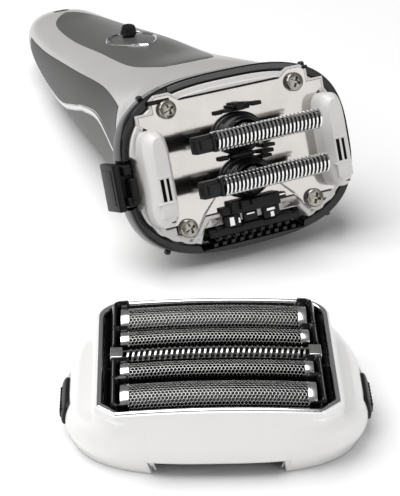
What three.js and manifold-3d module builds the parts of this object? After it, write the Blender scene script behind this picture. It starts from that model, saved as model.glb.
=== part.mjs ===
// Foil shaver lying on its back, with its foil head taken off and set down in front of it.
// Millimetres, +Z up. The handle runs along Y: its head faces -Y and its tail points to +Y.
import * as THREE from "three";
import { mergeVertices } from "three/addons/utils/BufferGeometryUtils.js";
import Module from "manifold-3d";

const wasm = await Module();
wasm.setup();

// ---- driving dimensions -------------------------------------------------------------------
const GAP = 0.3; // clearance between pieces that touch
const WALL = 2.8; // moulded handle wall
const INLAY = 1.2; // thickness of the panel and the rubber grips let into the handle
const CUT = 60; // half size of a tool that reaches right through the handle

// Handle sections from the neck to the tail:
// [y, height of centre, lean in degrees, half width, half thickness, squareness]
const HANDLE = [
  [6.4, 23.3, 24, 33.0, 22.9, 3.0],
  [14, 23.2, 20, 29.8, 21.8, 2.8],
  [26, 22.0, 14, 25.4, 20.4, 2.6],
  [45, 19.0, 6, 22.6, 18.5, 2.5],
  [68, 16.6, 2, 20.3, 16.6, 2.4],
  [90, 14.1, 0, 17.8, 13.8, 2.4],
  [110, 12.7, 0, 15.1, 10.6, 2.4],
  [124, 12.2, 0, 12.2, 8.4, 2.4],
  [132, 11.8, 0, 8.6, 5.8, 2.4],
];

// The head plane: its centre height above the table and its lean from upright
const HEAD = { height: 27, lean: 24 };
const RIM = { width: 68.6, height: 48.4, centre: -0.8, wall: 2.2 };
const PLATE = { width: 55.4, top: 18, tabTop: 20, low: -15, thick: 0.8 };
const SCREW = { across: 38.4, along: 32.4, shank: 1.4, head: 2.6 };
const BLADE = { pitch: 12, stripe: 32, width: 5.4, top: 13.6, left: -12.4, block: 5.6 };
const DRIVE = { stroke: 1, post: 1.7 };
const EAR = { x: 26.4, half: 3.7, length: 26, rise: 8 };
const LATCH = { low: -8, high: 5, out: 37.7, inner: 35.6, root: 31.8 };
const TRIMMER = { half: 13.5, bay: 15.8, bottom: 5.6, top: 10.4, front: -8.4, back: 8 };

// The foil head lies flat on the table, turned to face the front left
const FOIL = { x: -44, y: -72.4, turn: -24.7, bezelHalf: 28, bezelDeep: 24 };
const SKIRT = [
  [0, 34.6, 23.2, 2.8],
  [5, 36.2, 24.9, 3.0],
  [10, 34.9, 25.2, 3.4],
  [15, 30.6, 24.7, 4.4],
  [17, 28.6, 24.3, 6.0],
];
const NOTCH = { half: 17, height: 4.4 };
const FOIL_LENGTH = 45; // over its two end clips
const FOIL_ARCH = 1.2; // how much higher the middle of a foil stands than its ends
const FOILS = [ // name, place and half width
  ["foil_rear", 16.3, 4.3],
  ["foil_inner_rear", 6.4, 2.7],
  ["foil_inner_front", -7.1, 2.7],
  ["foil_front", -16.3, 4.3],
];
const COMB_HALF = 2.2;
const FOIL_TOP = 19.4; // crown of a foil at its ends
const FOIL_FOOT = 11.4; // lower edge of a foil

// ---- solids -------------------------------------------------------------------------------

// A closed three.js geometry as a manifold solid.
function solid(geometry) {
  const bare = geometry.clone();
  bare.deleteAttribute("normal");
  bare.deleteAttribute("uv");
  const merged = mergeVertices(bare, 1e-4);
  return new wasm.Manifold(new wasm.Mesh({
    numProp: 3,
    vertProperties: Float32Array.from(merged.attributes.position.array),
    triVerts: Uint32Array.from(merged.index.array),
  }));
}

function geometryOf(body) {
  const mesh = body.getMesh();
  const geometry = new THREE.BufferGeometry();
  geometry.setAttribute("position", new THREE.BufferAttribute(mesh.vertProperties, 3));
  geometry.setIndex(new THREE.BufferAttribute(mesh.triVerts, 1));
  return geometry;
}

// Box between two corners.
function box(x0, y0, z0, x1, y1, z1) {
  const geometry = new THREE.BoxGeometry(x1 - x0, y1 - y0, z1 - z0);
  return solid(geometry.translate((x0 + x1) / 2, (y0 + y1) / 2, (z0 + z1) / 2));
}

// Upright cylinder or cone along local Z.
function rod(radius, z0, z1, x = 0, y = 0, sides = 20, topRadius = radius) {
  const geometry = new THREE.CylinderGeometry(topRadius, radius, z1 - z0, sides);
  return solid(geometry.rotateX(Math.PI / 2).translate(x, y, (z0 + z1) / 2));
}

// Prism of an outline in XY between two heights.
function prism(points, z0, z1) {
  const shape = new THREE.Shape(points.map(([x, y]) => new THREE.Vector2(x, y)));
  const geometry = new THREE.ExtrudeGeometry(shape, { depth: z1 - z0, bevelEnabled: false });
  return solid(geometry.translate(0, 0, z0));
}

// Prism of an outline in YZ between two places along X.
function sidePrism(points, x0, x1) {
  const shape = new THREE.Shape(points.map(([y, z]) => new THREE.Vector2(y, z)));
  const geometry = new THREE.ExtrudeGeometry(shape, { depth: x1 - x0, bevelEnabled: false });
  geometry.applyMatrix4(new THREE.Matrix4().makeBasis(
    new THREE.Vector3(0, 1, 0), new THREE.Vector3(0, 0, 1), new THREE.Vector3(1, 0, 0)));
  return solid(geometry.translate(x0, 0, 0));
}

// Points of a superellipse: squareness 2 is an ellipse, higher is nearer a rectangle.
function superellipse(halfX, halfY, squareness, count) {
  const power = (value) => Math.sign(value) * Math.abs(value) ** (2 / squareness);
  return Array.from({ length: count }, (_, i) => {
    const angle = (2 * Math.PI * i) / count;
    return [halfX * power(Math.cos(angle)), halfY * power(Math.sin(angle))];
  });
}

// Solid through a row of rings with the same number of points, closed by flat ends.
function loft(rings) {
  const count = rings[0].length;
  const positions = rings.flat(2);
  const index = [];
  for (let r = 0; r + 1 < rings.length; r++) {
    for (let i = 0; i < count; i++) {
      const a = r * count + i;
      const b = r * count + ((i + 1) % count);
      index.push(a, b, b + count, a, b + count, a + count);
    }
  }
  for (const end of [0, rings.length - 1]) {
    const middle = positions.length / 3;
    const ring = rings[end];
    positions.push(...[0, 1, 2].map((k) => ring.reduce((sum, p) => sum + p[k], 0) / count));
    for (let i = 0; i < count; i++) {
      const a = end * count + i;
      const b = end * count + ((i + 1) % count);
      index.push(...(end ? [middle, a, b] : [middle, b, a]));
    }
  }
  const geometry = new THREE.BufferGeometry();
  geometry.setAttribute("position", new THREE.Float32BufferAttribute(positions, 3));
  geometry.setIndex(index);
  const body = solid(geometry);
  if (body.volume() > 0) return body;
  geometry.setIndex(index.toReversed()); // the rings ran clockwise, so turn every face round
  return solid(geometry);
}

// Outline with arcs or curves drawn by a callback on a Shape.
function outline(draw, segments = 6) {
  const shape = new THREE.Shape();
  draw(shape);
  return shape.getPoints(segments).map((p) => [p.x, p.y]);
}

function roundedBox(halfX, halfY, radius, segments = 4) {
  return outline((s) => {
    s.moveTo(halfX, -halfY + radius);
    s.absarc(halfX - radius, halfY - radius, radius, 0, Math.PI / 2);
    s.absarc(-halfX + radius, halfY - radius, radius, Math.PI / 2, Math.PI);
    s.absarc(-halfX + radius, -halfY + radius, radius, Math.PI, 1.5 * Math.PI);
    s.absarc(halfX - radius, -halfY + radius, radius, 1.5 * Math.PI, 2 * Math.PI);
  }, segments);
}

// Compression spring along local Z.
function spring(radius, wire, z0, z1, turns) {
  class Helix extends THREE.Curve {
    getPoint(t) {
      const angle = 2 * Math.PI * turns * t;
      const z = z0 + wire + (z1 - z0 - 2 * wire) * t;
      return new THREE.Vector3(radius * Math.cos(angle), radius * Math.sin(angle), z);
    }
  }
  const round = superellipse(wire, wire, 2, 6);
  const section = new THREE.Shape(round.map(([x, y]) => new THREE.Vector2(x, y)));
  return solid(new THREE.ExtrudeGeometry(section, {
    steps: turns * 8, bevelEnabled: false, extrudePath: new Helix(),
  }));
}

// ---- scene graph --------------------------------------------------------------------------
const shaver = new THREE.Group();
const assembly = new THREE.Group();
shaver.add(assembly);

// Head group: local X across, local Y up the head plate, local Z out of the plate.
const head = new THREE.Group();
head.position.set(0, 0, HEAD.height);
head.rotation.x = THREE.MathUtils.degToRad(90 - HEAD.lean);
assembly.add(head);

const foilHead = new THREE.Group();
foilHead.position.set(FOIL.x, FOIL.y, 0);
foilHead.rotation.z = THREE.MathUtils.degToRad(FOIL.turn);
assembly.add(foilHead);

const FINISHES = {
  silver: [0xb9b6b2, 0.35, 0.3],
  graphite: [0x55575a, 0.45, 0.5],
  grip: [0x4a4c50, 0.7, 0.0],
  chrome: [0xe4e6e8, 0.08, 1.0],
  steel: [0xc8c9ca, 0.22, 1.0],
  gloss: [0x1b1b1d, 0.15, 0.1],
  black: [0x141415, 0.5, 0.0],
  offWhite: [0xdedad6, 0.5, 0.0],
  rubber: [0x17171a, 0.8, 0.0],
  pearl: [0xe9e7e4, 0.25, 0.15],
  copper: [0xb06a3a, 0.4, 0.9],
  board: [0x2f6b3c, 0.6, 0.1],
  cell: [0x6b6f86, 0.5, 0.1],
};

function add(name, body, finish, parent = assembly) {
  const [color, roughness, metalness] = FINISHES[finish];
  const material = new THREE.MeshStandardMaterial({ color, roughness, metalness });
  const mesh = new THREE.Mesh(geometryOf(body), material);
  mesh.name = name;
  parent.add(mesh);
  return mesh;
}

// ---- handle -------------------------------------------------------------------------------

// One ring of the handle skin, a given depth below the surface.
function handleRing(section, depth, count = 24) {
  const [y, z, lean, halfWidth, halfThick, squareness] = section;
  const tilt = THREE.MathUtils.degToRad(lean);
  const ring = superellipse(halfWidth - depth, halfThick - depth, squareness, count);
  return ring.map(([x, v]) => [x, y + v * Math.sin(tilt), z + v * Math.cos(tilt)]);
}

// Sections between the given ones, by a smooth curve through each value.
function smoothSections(sections, perSpan) {
  const curves = sections[0].map((_, k) => new THREE.SplineCurve(
    sections.map((s, i) => new THREE.Vector2(i, s[k]))));
  const count = (sections.length - 1) * perSpan;
  return Array.from({ length: count + 1 }, (_, i) => curves.map((c) => c.getPoint(i / count).y));
}

const handleSections = smoothSections(HANDLE, 2);

function handleSkin(depth) {
  return loft(handleSections.map((section) => handleRing(section, depth)));
}

const hollow = loft(HANDLE.map((section) => handleRing(section, WALL, 16)));
const skin = handleSkin(0);
const inlayFloor = handleSkin(INLAY);
const pocketFloor = handleSkin(INLAY + GAP);

// Points along a smooth curve through a few places.
function curve(places, count) {
  return new THREE.SplineCurve(places.map(([a, b]) => new THREE.Vector2(a, b)))
    .getPoints(count).map((p) => [p.x, p.y]);
}

// Teardrop front panel, wide at the neck and pointed near the tail.
function panelOutline(grow) {
  const side = curve([[0, 122], [7.2, 113], [10.6, 92], [11.6, 68], [11.4, 46], [8.6, 34]], 10);
  const right = side.map(([x, y]) => [x + (x ? grow : 0), y + (x ? 0 : grow)]);
  const left = right.slice(1).reverse().map(([x, y]) => [-x, y]);
  return [...right, [4.5, 30.2 - grow], [-4.5, 30.2 - grow], ...left];
}

// Upper edge of the side grip and the wave line below it, as [y, z].
const gripTop = curve([[121, 15.2], [102, 18.4], [78, 23.8], [51, 29.9], [30, 33]], 8);
const wave = curve(
  [[121, 12.6], [104, 7.6], [86, 8.4], [70, 14.6], [59, 19.2], [45, 22.6], [30, 20]], 14);
const offset = (line, dz) => line.map(([y, z]) => [y, z + dz]);

function gripOutline(grow) {
  return [...offset(gripTop, grow), [25 - grow, 27], ...offset(wave, 1 - grow).reverse()];
}

function waveOutline(grow) {
  return [...offset(wave, 0.7 + grow), ...offset(wave, -0.7 - grow).reverse()];
}

function rearOutline(grow) {
  const line = offset(wave, -1 + grow).filter(([y]) => y < 104);
  return [[104 + grow, -CUT], ...line, [28 - grow, -CUT]].reverse();
}

const tailEnd = HANDLE.at(-1);
const sides = [["left", -CUT, 0], ["right", 0, CUT]];

// Every piece let into the handle: its name, its own cutting tool, its pocket's tool and its finish.
function inlays() {
  const across = (shape, x0, x1) => [sidePrism(shape(0), x0, x1), sidePrism(shape(GAP), x0, x1)];
  const panel = [prism(panelOutline(0), 15, CUT), prism(panelOutline(GAP), 15, CUT)];
  const pieces = [["front_panel", ...panel, "graphite"]];
  for (const [side, x0, x1] of sides) {
    pieces.push([`${side}_grip`, ...across(gripOutline, x0, x1), "grip"]);
    pieces.push([`wave_trim_${side}`, ...across(waveOutline, x0, x1), "chrome"]);
  }
  pieces.push(["rear_grip", ...across(rearOutline, -CUT, CUT), "rubber"]);
  return pieces;
}

// Chrome teardrop ring around the switch dish, let into the front panel.
const SWITCH = { y: 69, half: 7.6, length: 10, ring: 1.1 };
const LENS_Y = 126; // middle of the charge light's window

// Line of the panel's crown along the switch, as [y, z], raised or sunk.
const dishLine = (dz) => [[58, 35.2 + dz], [69, 33.1 + dz], [80.5, 30.3 + dz]];

function teardrop(inset) {
  const half = SWITCH.half - inset;
  const side = curve(
    [[0, SWITCH.length - inset], [half * 0.72, 7.6], [half, 2], [half * 0.62, -5.5]], 10);
  const right = [...side, [0, -SWITCH.length + inset * 1.6]];
  const left = right.slice(1, -1).reverse().map(([x, y]) => [-x, y]);
  return [...right, ...left].map(([x, y]) => [x, y + SWITCH.y]);
}

function buildHandle() {
  const slot = box(-2.4, 66.5, 15, 2.4, 75.4, CUT);
  const dishTool = prism(teardrop(-GAP), 15, CUT);
  const lens = (grow) => roundedBox(2.6 + grow, 1.5 + grow, 1.4 + grow, 3);
  const lensPrism = (grow) => prism(lens(grow).map(([x, y]) => [x, y + LENS_Y]), 15, CUT);
  let shell = skin.subtract(hollow.subtract(box(-CUT, tailEnd[0] - 4, -CUT, CUT, CUT * 4, CUT)));
  shell = shell.subtract(neckTool());
  for (const [name, tool, pocket, finish] of inlays()) {
    let piece = skin.intersect(tool).subtract(inlayFloor);
    if (name === "front_panel") piece = piece.subtract(dishTool);
    shell = shell.subtract(pocket.subtract(pocketFloor));
    add(name, piece, finish);
  }
  shell = shell.subtract(slot).subtract(lensPrism(GAP).subtract(pocketFloor));
  add("charge_light_window", skin.intersect(lensPrism(0)).subtract(inlayFloor), "gloss");
  const ring = prism(teardrop(0), 15, CUT).subtract(prism(teardrop(SWITCH.ring), 15, CUT));
  add("chrome_ring", skin.intersect(ring).subtract(inlayFloor), "chrome");
  const floor = sidePrism([...dishLine(-0.6), ...dishLine(-1.1).reverse()], -CUT, CUT);
  const dish = floor.intersect(prism(teardrop(SWITCH.ring + GAP), 15, CUT)).subtract(slot);
  add("switch_dish", dish, "gloss");
  buildTail(shell);
}

// The shell is open where the head sits in its neck.
function neckTool() {
  const tilt = THREE.MathUtils.degToRad(HEAD.lean);
  const ring = handleRing(HANDLE[0], WALL);
  const out = ring.map(([x, y, z]) => [x, y - 6 * Math.cos(tilt), z + 6 * Math.sin(tilt)]);
  const inside = ring.map(([x, y, z]) => [x, y + 1 * Math.cos(tilt), z - 1 * Math.sin(tilt)]);
  return loft([out, inside]);
}

// Tail cap with two charging pins, and the two shells parted along the side.
function buildTail(shell) {
  const end = tailEnd[0];
  const z = tailEnd[1];
  const face = (grow) => superellipse(5.6 + grow, 3.2 + grow, 3, 20);
  const cap = (grow, y0, y1) => sideways(prism(face(grow), -y1, -y0), z);
  const pins = [-2, 2].map((x) => sideways(rod(0.8, -end - 0.2, -end + 2.4, x, 0, 12), z));
  const holes = [-2, 2].map((x) => sideways(rod(1.1, -end - 1, -end + 6, x, 0, 12), z));
  shell = shell.subtract(cap(GAP, end - 5, end + 1)).subtract(trimmerRoom());
  let plug = cap(0, end - 3.2, end + 0.5);
  for (const hole of holes) plug = plug.subtract(hole);
  add("tail_cap", plug, "gloss");
  pins.forEach((pin, i) => add(`charge_pin_${i + 1}`, pin, "chrome"));
  const parting = (dz) => [[-CUT, 20 + dz], [30, 20 + dz], [end + 10, 12 + dz]];
  const above = sidePrism([...parting(GAP / 2), [end + 10, CUT], [-CUT, CUT]], -CUT, CUT);
  const below = sidePrism([[-CUT, -CUT], [end + 10, -CUT], ...parting(-GAP / 2).reverse()], -CUT, CUT);
  add("front_shell", shell.intersect(above), "silver");
  add("rear_shell", shell.intersect(below), "silver");
}

// Turn a solid built along Z so that it runs along Y, at a height.
function sideways(body, z) {
  const geometry = geometryOf(body).rotateX(Math.PI / 2).translate(0, 0, z);
  return solid(geometry);
}

// Room in the rear shell for the trimmer carriage and for the neck of its thumb button.
function trimmerRoom() {
  const t = TRIMMER;
  const room = box(-t.half - GAP, -20, t.bottom - GAP, t.half + GAP, t.back + GAP, t.top + GAP);
  return room.add(box(-2.6, -8, -2, 2.6, t.back - 0.2, 8.5));
}

function buildSwitch() {
  const z = 32.6;
  const knob = rod(2.4, 0, 3.2, 0, 0, 20, 1.9).add(box(-1.9, -1.9, -3.4, 1.9, 1.9, 0.5));
  const mesh = add("switch_knob", knob, "black");
  mesh.position.set(0, 73, z);
}

// Rechargeable cell and circuit board inside the handle.
function buildElectrics() {
  const cell = add("battery", rod(8.6, 0, 50, 0, 0, 24), "cell");
  cell.rotation.x = -Math.PI / 2;
  cell.position.set(0, 46, 14.6);
  add("circuit_board", box(-9, 40, 25.6, 9, 68, 27), "board");
}

// ---- head ---------------------------------------------------------------------------------
const rimRing = (inset) => superellipse(
  RIM.width / 2 - inset, RIM.height / 2 - inset, 2.9, 40)
  .map(([x, y]) => [x, y + RIM.centre]);

// A box in table directions, as a cutting tool in the head's own frame.
function inHeadFrame(body) {
  head.updateMatrix();
  return solid(geometryOf(body).applyMatrix4(head.matrix.clone().invert()));
}

const mirrored = (points) => points.map(([x, y]) => [-x, y]).reverse();

// Half outline of the drive plate: a tab round each screw and small steps between them.
function plateOutline() {
  const w = PLATE.width / 2;
  const right = [
    [5, PLATE.low], [8, PLATE.low], [8, PLATE.low + 1], [14, PLATE.low + 1], [16.2, -17.2],
    [22, -17.2], [22, PLATE.low], [w - 1.4, PLATE.low], [w - 1.4, -11.6], [w, -10.4], [w, 11],
    [w - 2, 12], [w, 13.2], [w, 15.6], [23.2, 15.6], [23.2, PLATE.tabTop - 1], [21.8, PLATE.tabTop],
    [18, PLATE.tabTop], [15, PLATE.top],
  ];
  return [...right, ...mirrored(right)];
}

function buildHeadShell() {
  const t = TRIMMER;
  const trimmerTool = (low) => inHeadFrame(box(-t.bay, -40, low, t.bay, 30, t.top + GAP));
  const posts = postHoles(3.4, 3.2);
  let rim = prism(rimRing(0), -7, -1.2).subtract(prism(rimRing(RIM.wall), -8, 0));
  const base = prism(rimRing(RIM.wall + GAP), -5.4, -PLATE.thick - GAP);
  const latchTool = spanBox(-1, 29.8, CUT, LATCH.low - GAP, LATCH.high + GAP, -5.3, 3);
  rim = rim.subtract(latchTool).subtract(trimmerTool(t.bottom - GAP));
  for (const [sx, sy] of [[-1, 1], [1, 1], [-1, -1], [1, -1]]) {
    const nub = rod(0.9, -5.5, -3, sx * 24.6, RIM.centre + sy * 20.8, 10);
    rim = rim.add(nub);
  }
  let body = base.subtract(trimmerTool(-CUT)).subtract(posts).subtract(latchTool);
  let plate = prism(plateOutline(), -PLATE.thick, 0).subtract(posts);
  for (const [x, y] of screwPlaces()) {
    const hole = rod(SCREW.shank + GAP, -6, 3, x, y, 14);
    plate = plate.subtract(hole);
    body = body.subtract(hole);
  }
  add("head_rim", rim, "black", head);
  add("head_base", body, "offWhite", head);
  add("drive_plate", plate, "steel", head);
}

// Box on one side of the middle: side -1 or 1, then from and to along X, Y and Z.
function spanBox(side, x0, x1, y0, y1, z0, z1) {
  return side > 0 ? box(x0, y0, z0, x1, y1, z1) : box(-x1, y0, z0, -x0, y1, z1);
}

// Openings that the two drive posts swing in.
function postHoles(halfX, halfY) {
  const [upper, lower] = [1, -1].map((s) => prism(
    roundedBox(halfX, halfY, 2.6).map(([x, y]) => [x, y + (s * BLADE.pitch) / 2]), -8, 6));
  return upper.add(lower);
}

function screwPlaces() {
  const x = SCREW.across / 2;
  const y = SCREW.along / 2;
  return [[-x, y], [x, y], [-x, -y], [x, -y]];
}

// Pan-head cross-recess screw.
function buildScrews() {
  const arm = (w, l) => box(-l, -w, 1, l, w, 3);
  const shank = rod(SCREW.shank, -5.2, 0.4, 0, 0, 10);
  const pan = rod(SCREW.head, GAP, 1.4, 0, 0, 14, SCREW.head - 0.3);
  const cap = rod(SCREW.head - 0.3, 1.4, 1.9, 0, 0, 14, SCREW.head - 1.1);
  const screw = shank.add(pan).add(cap).subtract(arm(0.32, 1.5)).subtract(arm(1.5, 0.32));
  screwPlaces().forEach(([x, y], i) => {
    add(`plate_screw_${i + 1}`, screw, "steel", head).position.set(x, y, 0);
  });
}

// Cassette guide: a capsule-shaped block with a bevelled top and a window.
function buildEars() {
  for (const [name, s] of [["left_guide", -1], ["right_guide", 1]]) {
    const ring = (inset, z) => roundedBox(EAR.half - inset, EAR.length / 2 - inset, 3.2 - inset * 0.6)
      .map(([x, y]) => [x, y, z]);
    let ear = loft([ring(0, GAP), ring(0, EAR.rise - 2.4), ring(1.9, EAR.rise)]);
    ear = ear.subtract(spanBox(-s, 0.4, CUT, -6, -0.6, 3.2, 5.6));
    add(name, ear, "offWhite", head).position.set(s * EAR.x, -1.2, 0);
  }
}

// Rubber boots that seal the drive posts.
function buildBoots() {
  for (const [name, s] of [["upper_boot", 1], ["lower_boot", -1]]) {
    const ring = (rx, ry, z) => superellipse(rx, ry, 2, 24).map(([x, y]) => [x, y, z]);
    const dome = loft([
      ring(7.4, 5.8, GAP), ring(7.4, 5.8, 1.4), ring(6.3, 4.9, 2.4), ring(5.0, 4.1, 3.6),
      ring(4.2, 3.6, 4.4),
    ]);
    const bore = rod(DRIVE.post + DRIVE.stroke + 0.5, -1, 6, 0, 0, 16);
    add(name, dome.subtract(bore), "rubber", head).position.set(0, (s * BLADE.pitch) / 2, 0);
  }
}

// Linear motor: a frame open to the front, its coil, and two armatures that swing across.
function buildMotor() {
  const hollow = box(-13.4, -9.2, -19.6, 13.4, 9.4, 0);
  const frame = box(-15.5, -10.4, -21, 15.5, 10.6, -9).subtract(hollow);
  add("motor_frame", frame, "steel", head);
  add("motor_coil", box(-7, -8, -19.3, 7, 8, -17.9), "copper", head);
  for (const [name, s] of [["armature_1", 1], ["armature_2", -1]]) {
    const block = box(-9, -2.6, -17.4, 9, 2.6, -11.2);
    const post = rod(DRIVE.post, -12, 5.2, 0, 0, 14).add(rod(2.8, 4.8, 5.4, 0, 0, 14))
      .add(rod(1.2, 5, 9.1, 0, 0, 14));
    add(name, block.add(post), "steel", head).position.set(0, (s * BLADE.pitch) / 2, 0);
  }
}

// Inner blade: an arched comb of thin steel on a black holder with one end block.
function buildBlades() {
  const arch = (half, foot, top) => {
    const crown = Array.from({ length: 9 }, (_, i) => {
      const angle = (Math.PI * i) / 8;
      return [half * Math.cos(angle), top - half + half * Math.sin(angle)];
    });
    return [[half, foot], ...crown, [-half, foot]];
  };
  const run = (points, x0, x1) => sidePrism(points, x0, x1);
  const half = BLADE.width / 2;
  for (const [k, s] of [[1, 1], [2, -1]]) {
    const right = BLADE.left + BLADE.stripe;
    const core = run(arch(half - 1.1, 9, BLADE.top - 1.1), BLADE.left, right - 0.6);
    const [from, to] = [BLADE.left - BLADE.block, BLADE.left + 0.1];
    const block = box(from, -half + 0.3, 8.4, to, half - 0.3, BLADE.top - 1.2);
    const bed = box(-7, -half + 0.2, 7.4, 9, half - 0.2, 9.1);
    const holder = core.add(block).add(bed).subtract(rod(1.5, 6, 10.9, 0, 0, 14));
    const blade = run(arch(half, 9.5, BLADE.top), BLADE.left + 0.4, right)
      .subtract(run(arch(half - 0.8, 8, BLADE.top - 0.8), BLADE.left, right + 1));
    const place = [0, (s * BLADE.pitch) / 2, 0];
    add(`blade_holder_${k}`, holder, "black", head).position.set(...place);
    add(`inner_blade_${k}`, blade, "steel", head).position.set(...place);
    const coil = spring(2.2, 0.25, 5.5, 7.3, 2);
    add(`blade_spring_${k}`, coil, "steel", head).position.set(...place);
  }
}

// Frame latch at the left end of the rim, pushed out by a small spring.
function buildLatch() {
  const { low, high, out, inner, root } = LATCH;
  const pad = spanBox(-1, inner, out, low, high, -8.6, 0.6);
  const stem = spanBox(-1, root, inner + 0.2, low + 0.6, high - 0.6, -4.9, -1.6);
  const hook = spanBox(-1, root, root + 1.8, -6.4, 0.4, -2, 1.8);
  add("frame_latch", pad.add(stem).add(hook), "black", head);
  const coil = add("latch_spring", spring(1.1, 0.2, 0, 1.4, 2), "steel", head);
  coil.rotation.y = -Math.PI / 2;
  coil.position.set(-30.3, -1.5, -3.2);
}

// Long-hair trimmer: a carriage that slides out through the rim along the back of the handle.
function buildTrimmer() {
  const t = TRIMMER;
  const front = t.front + 3.4; // front face of the carriage's own frame
  const floor = t.bottom + 1.2;
  const frame = box(-t.half, front, t.bottom, t.half, t.back, t.top);
  const pocket = box(-t.half + 2, front + 1.6, floor, t.half - 2, t.back - 1, t.top - 1.2);
  const gate = box(-t.half + 5, t.back - 4, floor, t.half - 5, t.back + 1, t.top + 1);
  const brow = box(-t.half, t.front - 0.6, t.bottom + 2.8, t.half, front + 0.1, t.top);
  add("trimmer_carriage", frame.subtract(pocket).subtract(gate).add(brow), "black");
  const comb = t.front - 0.6;
  add("trimmer_comb", toothed(comb, t.bottom + 0.2, t.bottom + 1.2, t.half - 1, 10), "steel");
  add("trimmer_blade", toothed(t.front, t.bottom + 1.5, t.bottom + 2.4, t.half - 2.6, 9), "steel");
  const pad = box(-6, 4, 0.7, 6, 14, 1.9);
  add("trimmer_button", pad.add(box(-2, 4.9, 1.5, 2, 7.4, t.bottom - GAP)), "black");
}

// Bar with teeth that point to the front: front and height of the teeth, half its width, how many.
function toothed(y0, z0, z1, half, teeth) {
  const tooth = 1.2;
  const pitch = (2 * half - tooth) / (teeth - 1);
  let bar = box(-half, y0 + 2.2, z0, half, TRIMMER.front + 3.1, z1);
  for (let i = 0; i < teeth; i++) {
    const x = -half + i * pitch;
    bar = bar.add(box(x, y0, z0, x + tooth, y0 + 2.4, z1));
  }
  return bar;
}

// ---- foil head ----------------------------------------------------------------------------
function skirtLoft(depth) {
  return loft(SKIRT.map(([z, halfX, halfY, squareness]) =>
    superellipse(halfX - depth, halfY - depth, squareness, 36).map(([x, y]) => [x, y, z])));
}

// Bezel outline: round corners at the rear, cut corners at the front.
function bezelOutline(inset) {
  const x = FOIL.bezelHalf - inset;
  const y = FOIL.bezelDeep - inset;
  const r = 6 - inset * 0.6;
  const c = 4.4 - inset * 0.4;
  return outline((s) => {
    s.moveTo(x, -y + c);
    s.lineTo(x, y - r);
    s.absarc(x - r, y - r, r, 0, Math.PI / 2);
    s.absarc(-x + r, y - r, r, Math.PI / 2, Math.PI);
    s.lineTo(-x, -y + c);
    s.lineTo(-x + c, -y);
    s.lineTo(x - c, -y);
  }, 4);
}

// Raise the middle of a piece along X, as the foils and their frame arch.
function arched(body) {
  const geometry = geometryOf(sliced(body));
  const position = geometry.attributes.position;
  for (let i = 0; i < position.count; i++) {
    const along = position.getX(i) / 26;
    position.setZ(i, position.getZ(i) + FOIL_ARCH * Math.max(0, 1 - along * along));
  }
  return solid(geometry);
}

// Cut a piece across X so that it can bend, and join the slices again.
function sliced(body) {
  let whole = null;
  for (let i = 0; i < 4; i++) {
    const x0 = i === 0 ? -CUT : -26 + (52 * i) / 4;
    const x1 = i === 3 ? CUT : -26 + (52 * (i + 1)) / 4;
    const slice = body.intersect(box(x0, -CUT, -CUT, x1, CUT, CUT));
    whole = whole ? whole.add(slice) : slice;
  }
  return whole;
}

function buildFoilFrame() {
  const window = prism(bezelOutline(1.2), 14, 30);
  const seat = prism(bezelOutline(-GAP), 14.6, 30);
  const notch = box(-NOTCH.half, -CUT, -1, NOTCH.half, 0, NOTCH.height);
  const buttonTool = box(-CUT, -9, 3.4, CUT, 5, 10.4);
  const inside = skirtLoft(1.8).add(window);
  const frame = skirtLoft(0).subtract(inside).subtract(seat).subtract(notch).subtract(buttonTool);
  add("foil_frame", frame, "pearl", foilHead);
  const bezel = prism(bezelOutline(0), 14.9, 17.6).subtract(prism(bezelOutline(1.5), 10, 30));
  add("foil_bezel", bezel, "chrome", foilHead);
  for (const [name, s] of [["left_release", -1], ["right_release", 1]]) {
    const ring = (x, shrink) => superellipse(6.6 - shrink, 3.1 - shrink, 4, 20)
      .map(([y, z]) => [s * x, s * y - 2, z + 6.9]);
    const bar = loft([ring(33.3, 0), ring(37.1, 0), ring(37.9, 0.9)]);
    const button = bar.intersect(skirtLoft(-1.5));
    add(name, button, "black", foilHead);
  }
}

function buildCassette() {
  const fits = skirtLoft(1.8 + GAP).add(prism(bezelOutline(1.8), 14.6, 30));
  let cassette = prism(bezelOutline(1.8), 8.4, 16.8).intersect(fits);
  const slots = [...FOILS, ["comb", 0, COMB_HALF]];
  for (const [name, y, half] of slots) {
    const reach = name === "comb" ? 25.2 : FOIL_LENGTH / 2 + 0.4;
    cassette = cassette.subtract(box(-reach, y - half - 0.35, 0, reach, y + half + 0.35, 30));
  }
  add("foil_cassette", cassette, "gloss", foilHead);
}

// Foil: a thin arched sheet with a clip at each end, bent over its length.
function foilSheet(half, thick, foot, top, length) {
  const arc = (h, z) => Array.from({ length: 9 }, (_, i) => {
    const angle = (Math.PI * i) / 8;
    return [h * Math.cos(angle), z - h * 0.8 + h * 0.8 * Math.sin(angle)];
  });
  const outer = [[half, foot], ...arc(half, top), [-half, foot]];
  const inside = half - thick;
  const inner = [[inside, foot - 1], ...arc(inside, top - thick), [-inside, foot - 1]];
  return sidePrism(outer, -length / 2, length / 2).subtract(sidePrism(inner, -CUT, CUT));
}

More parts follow.
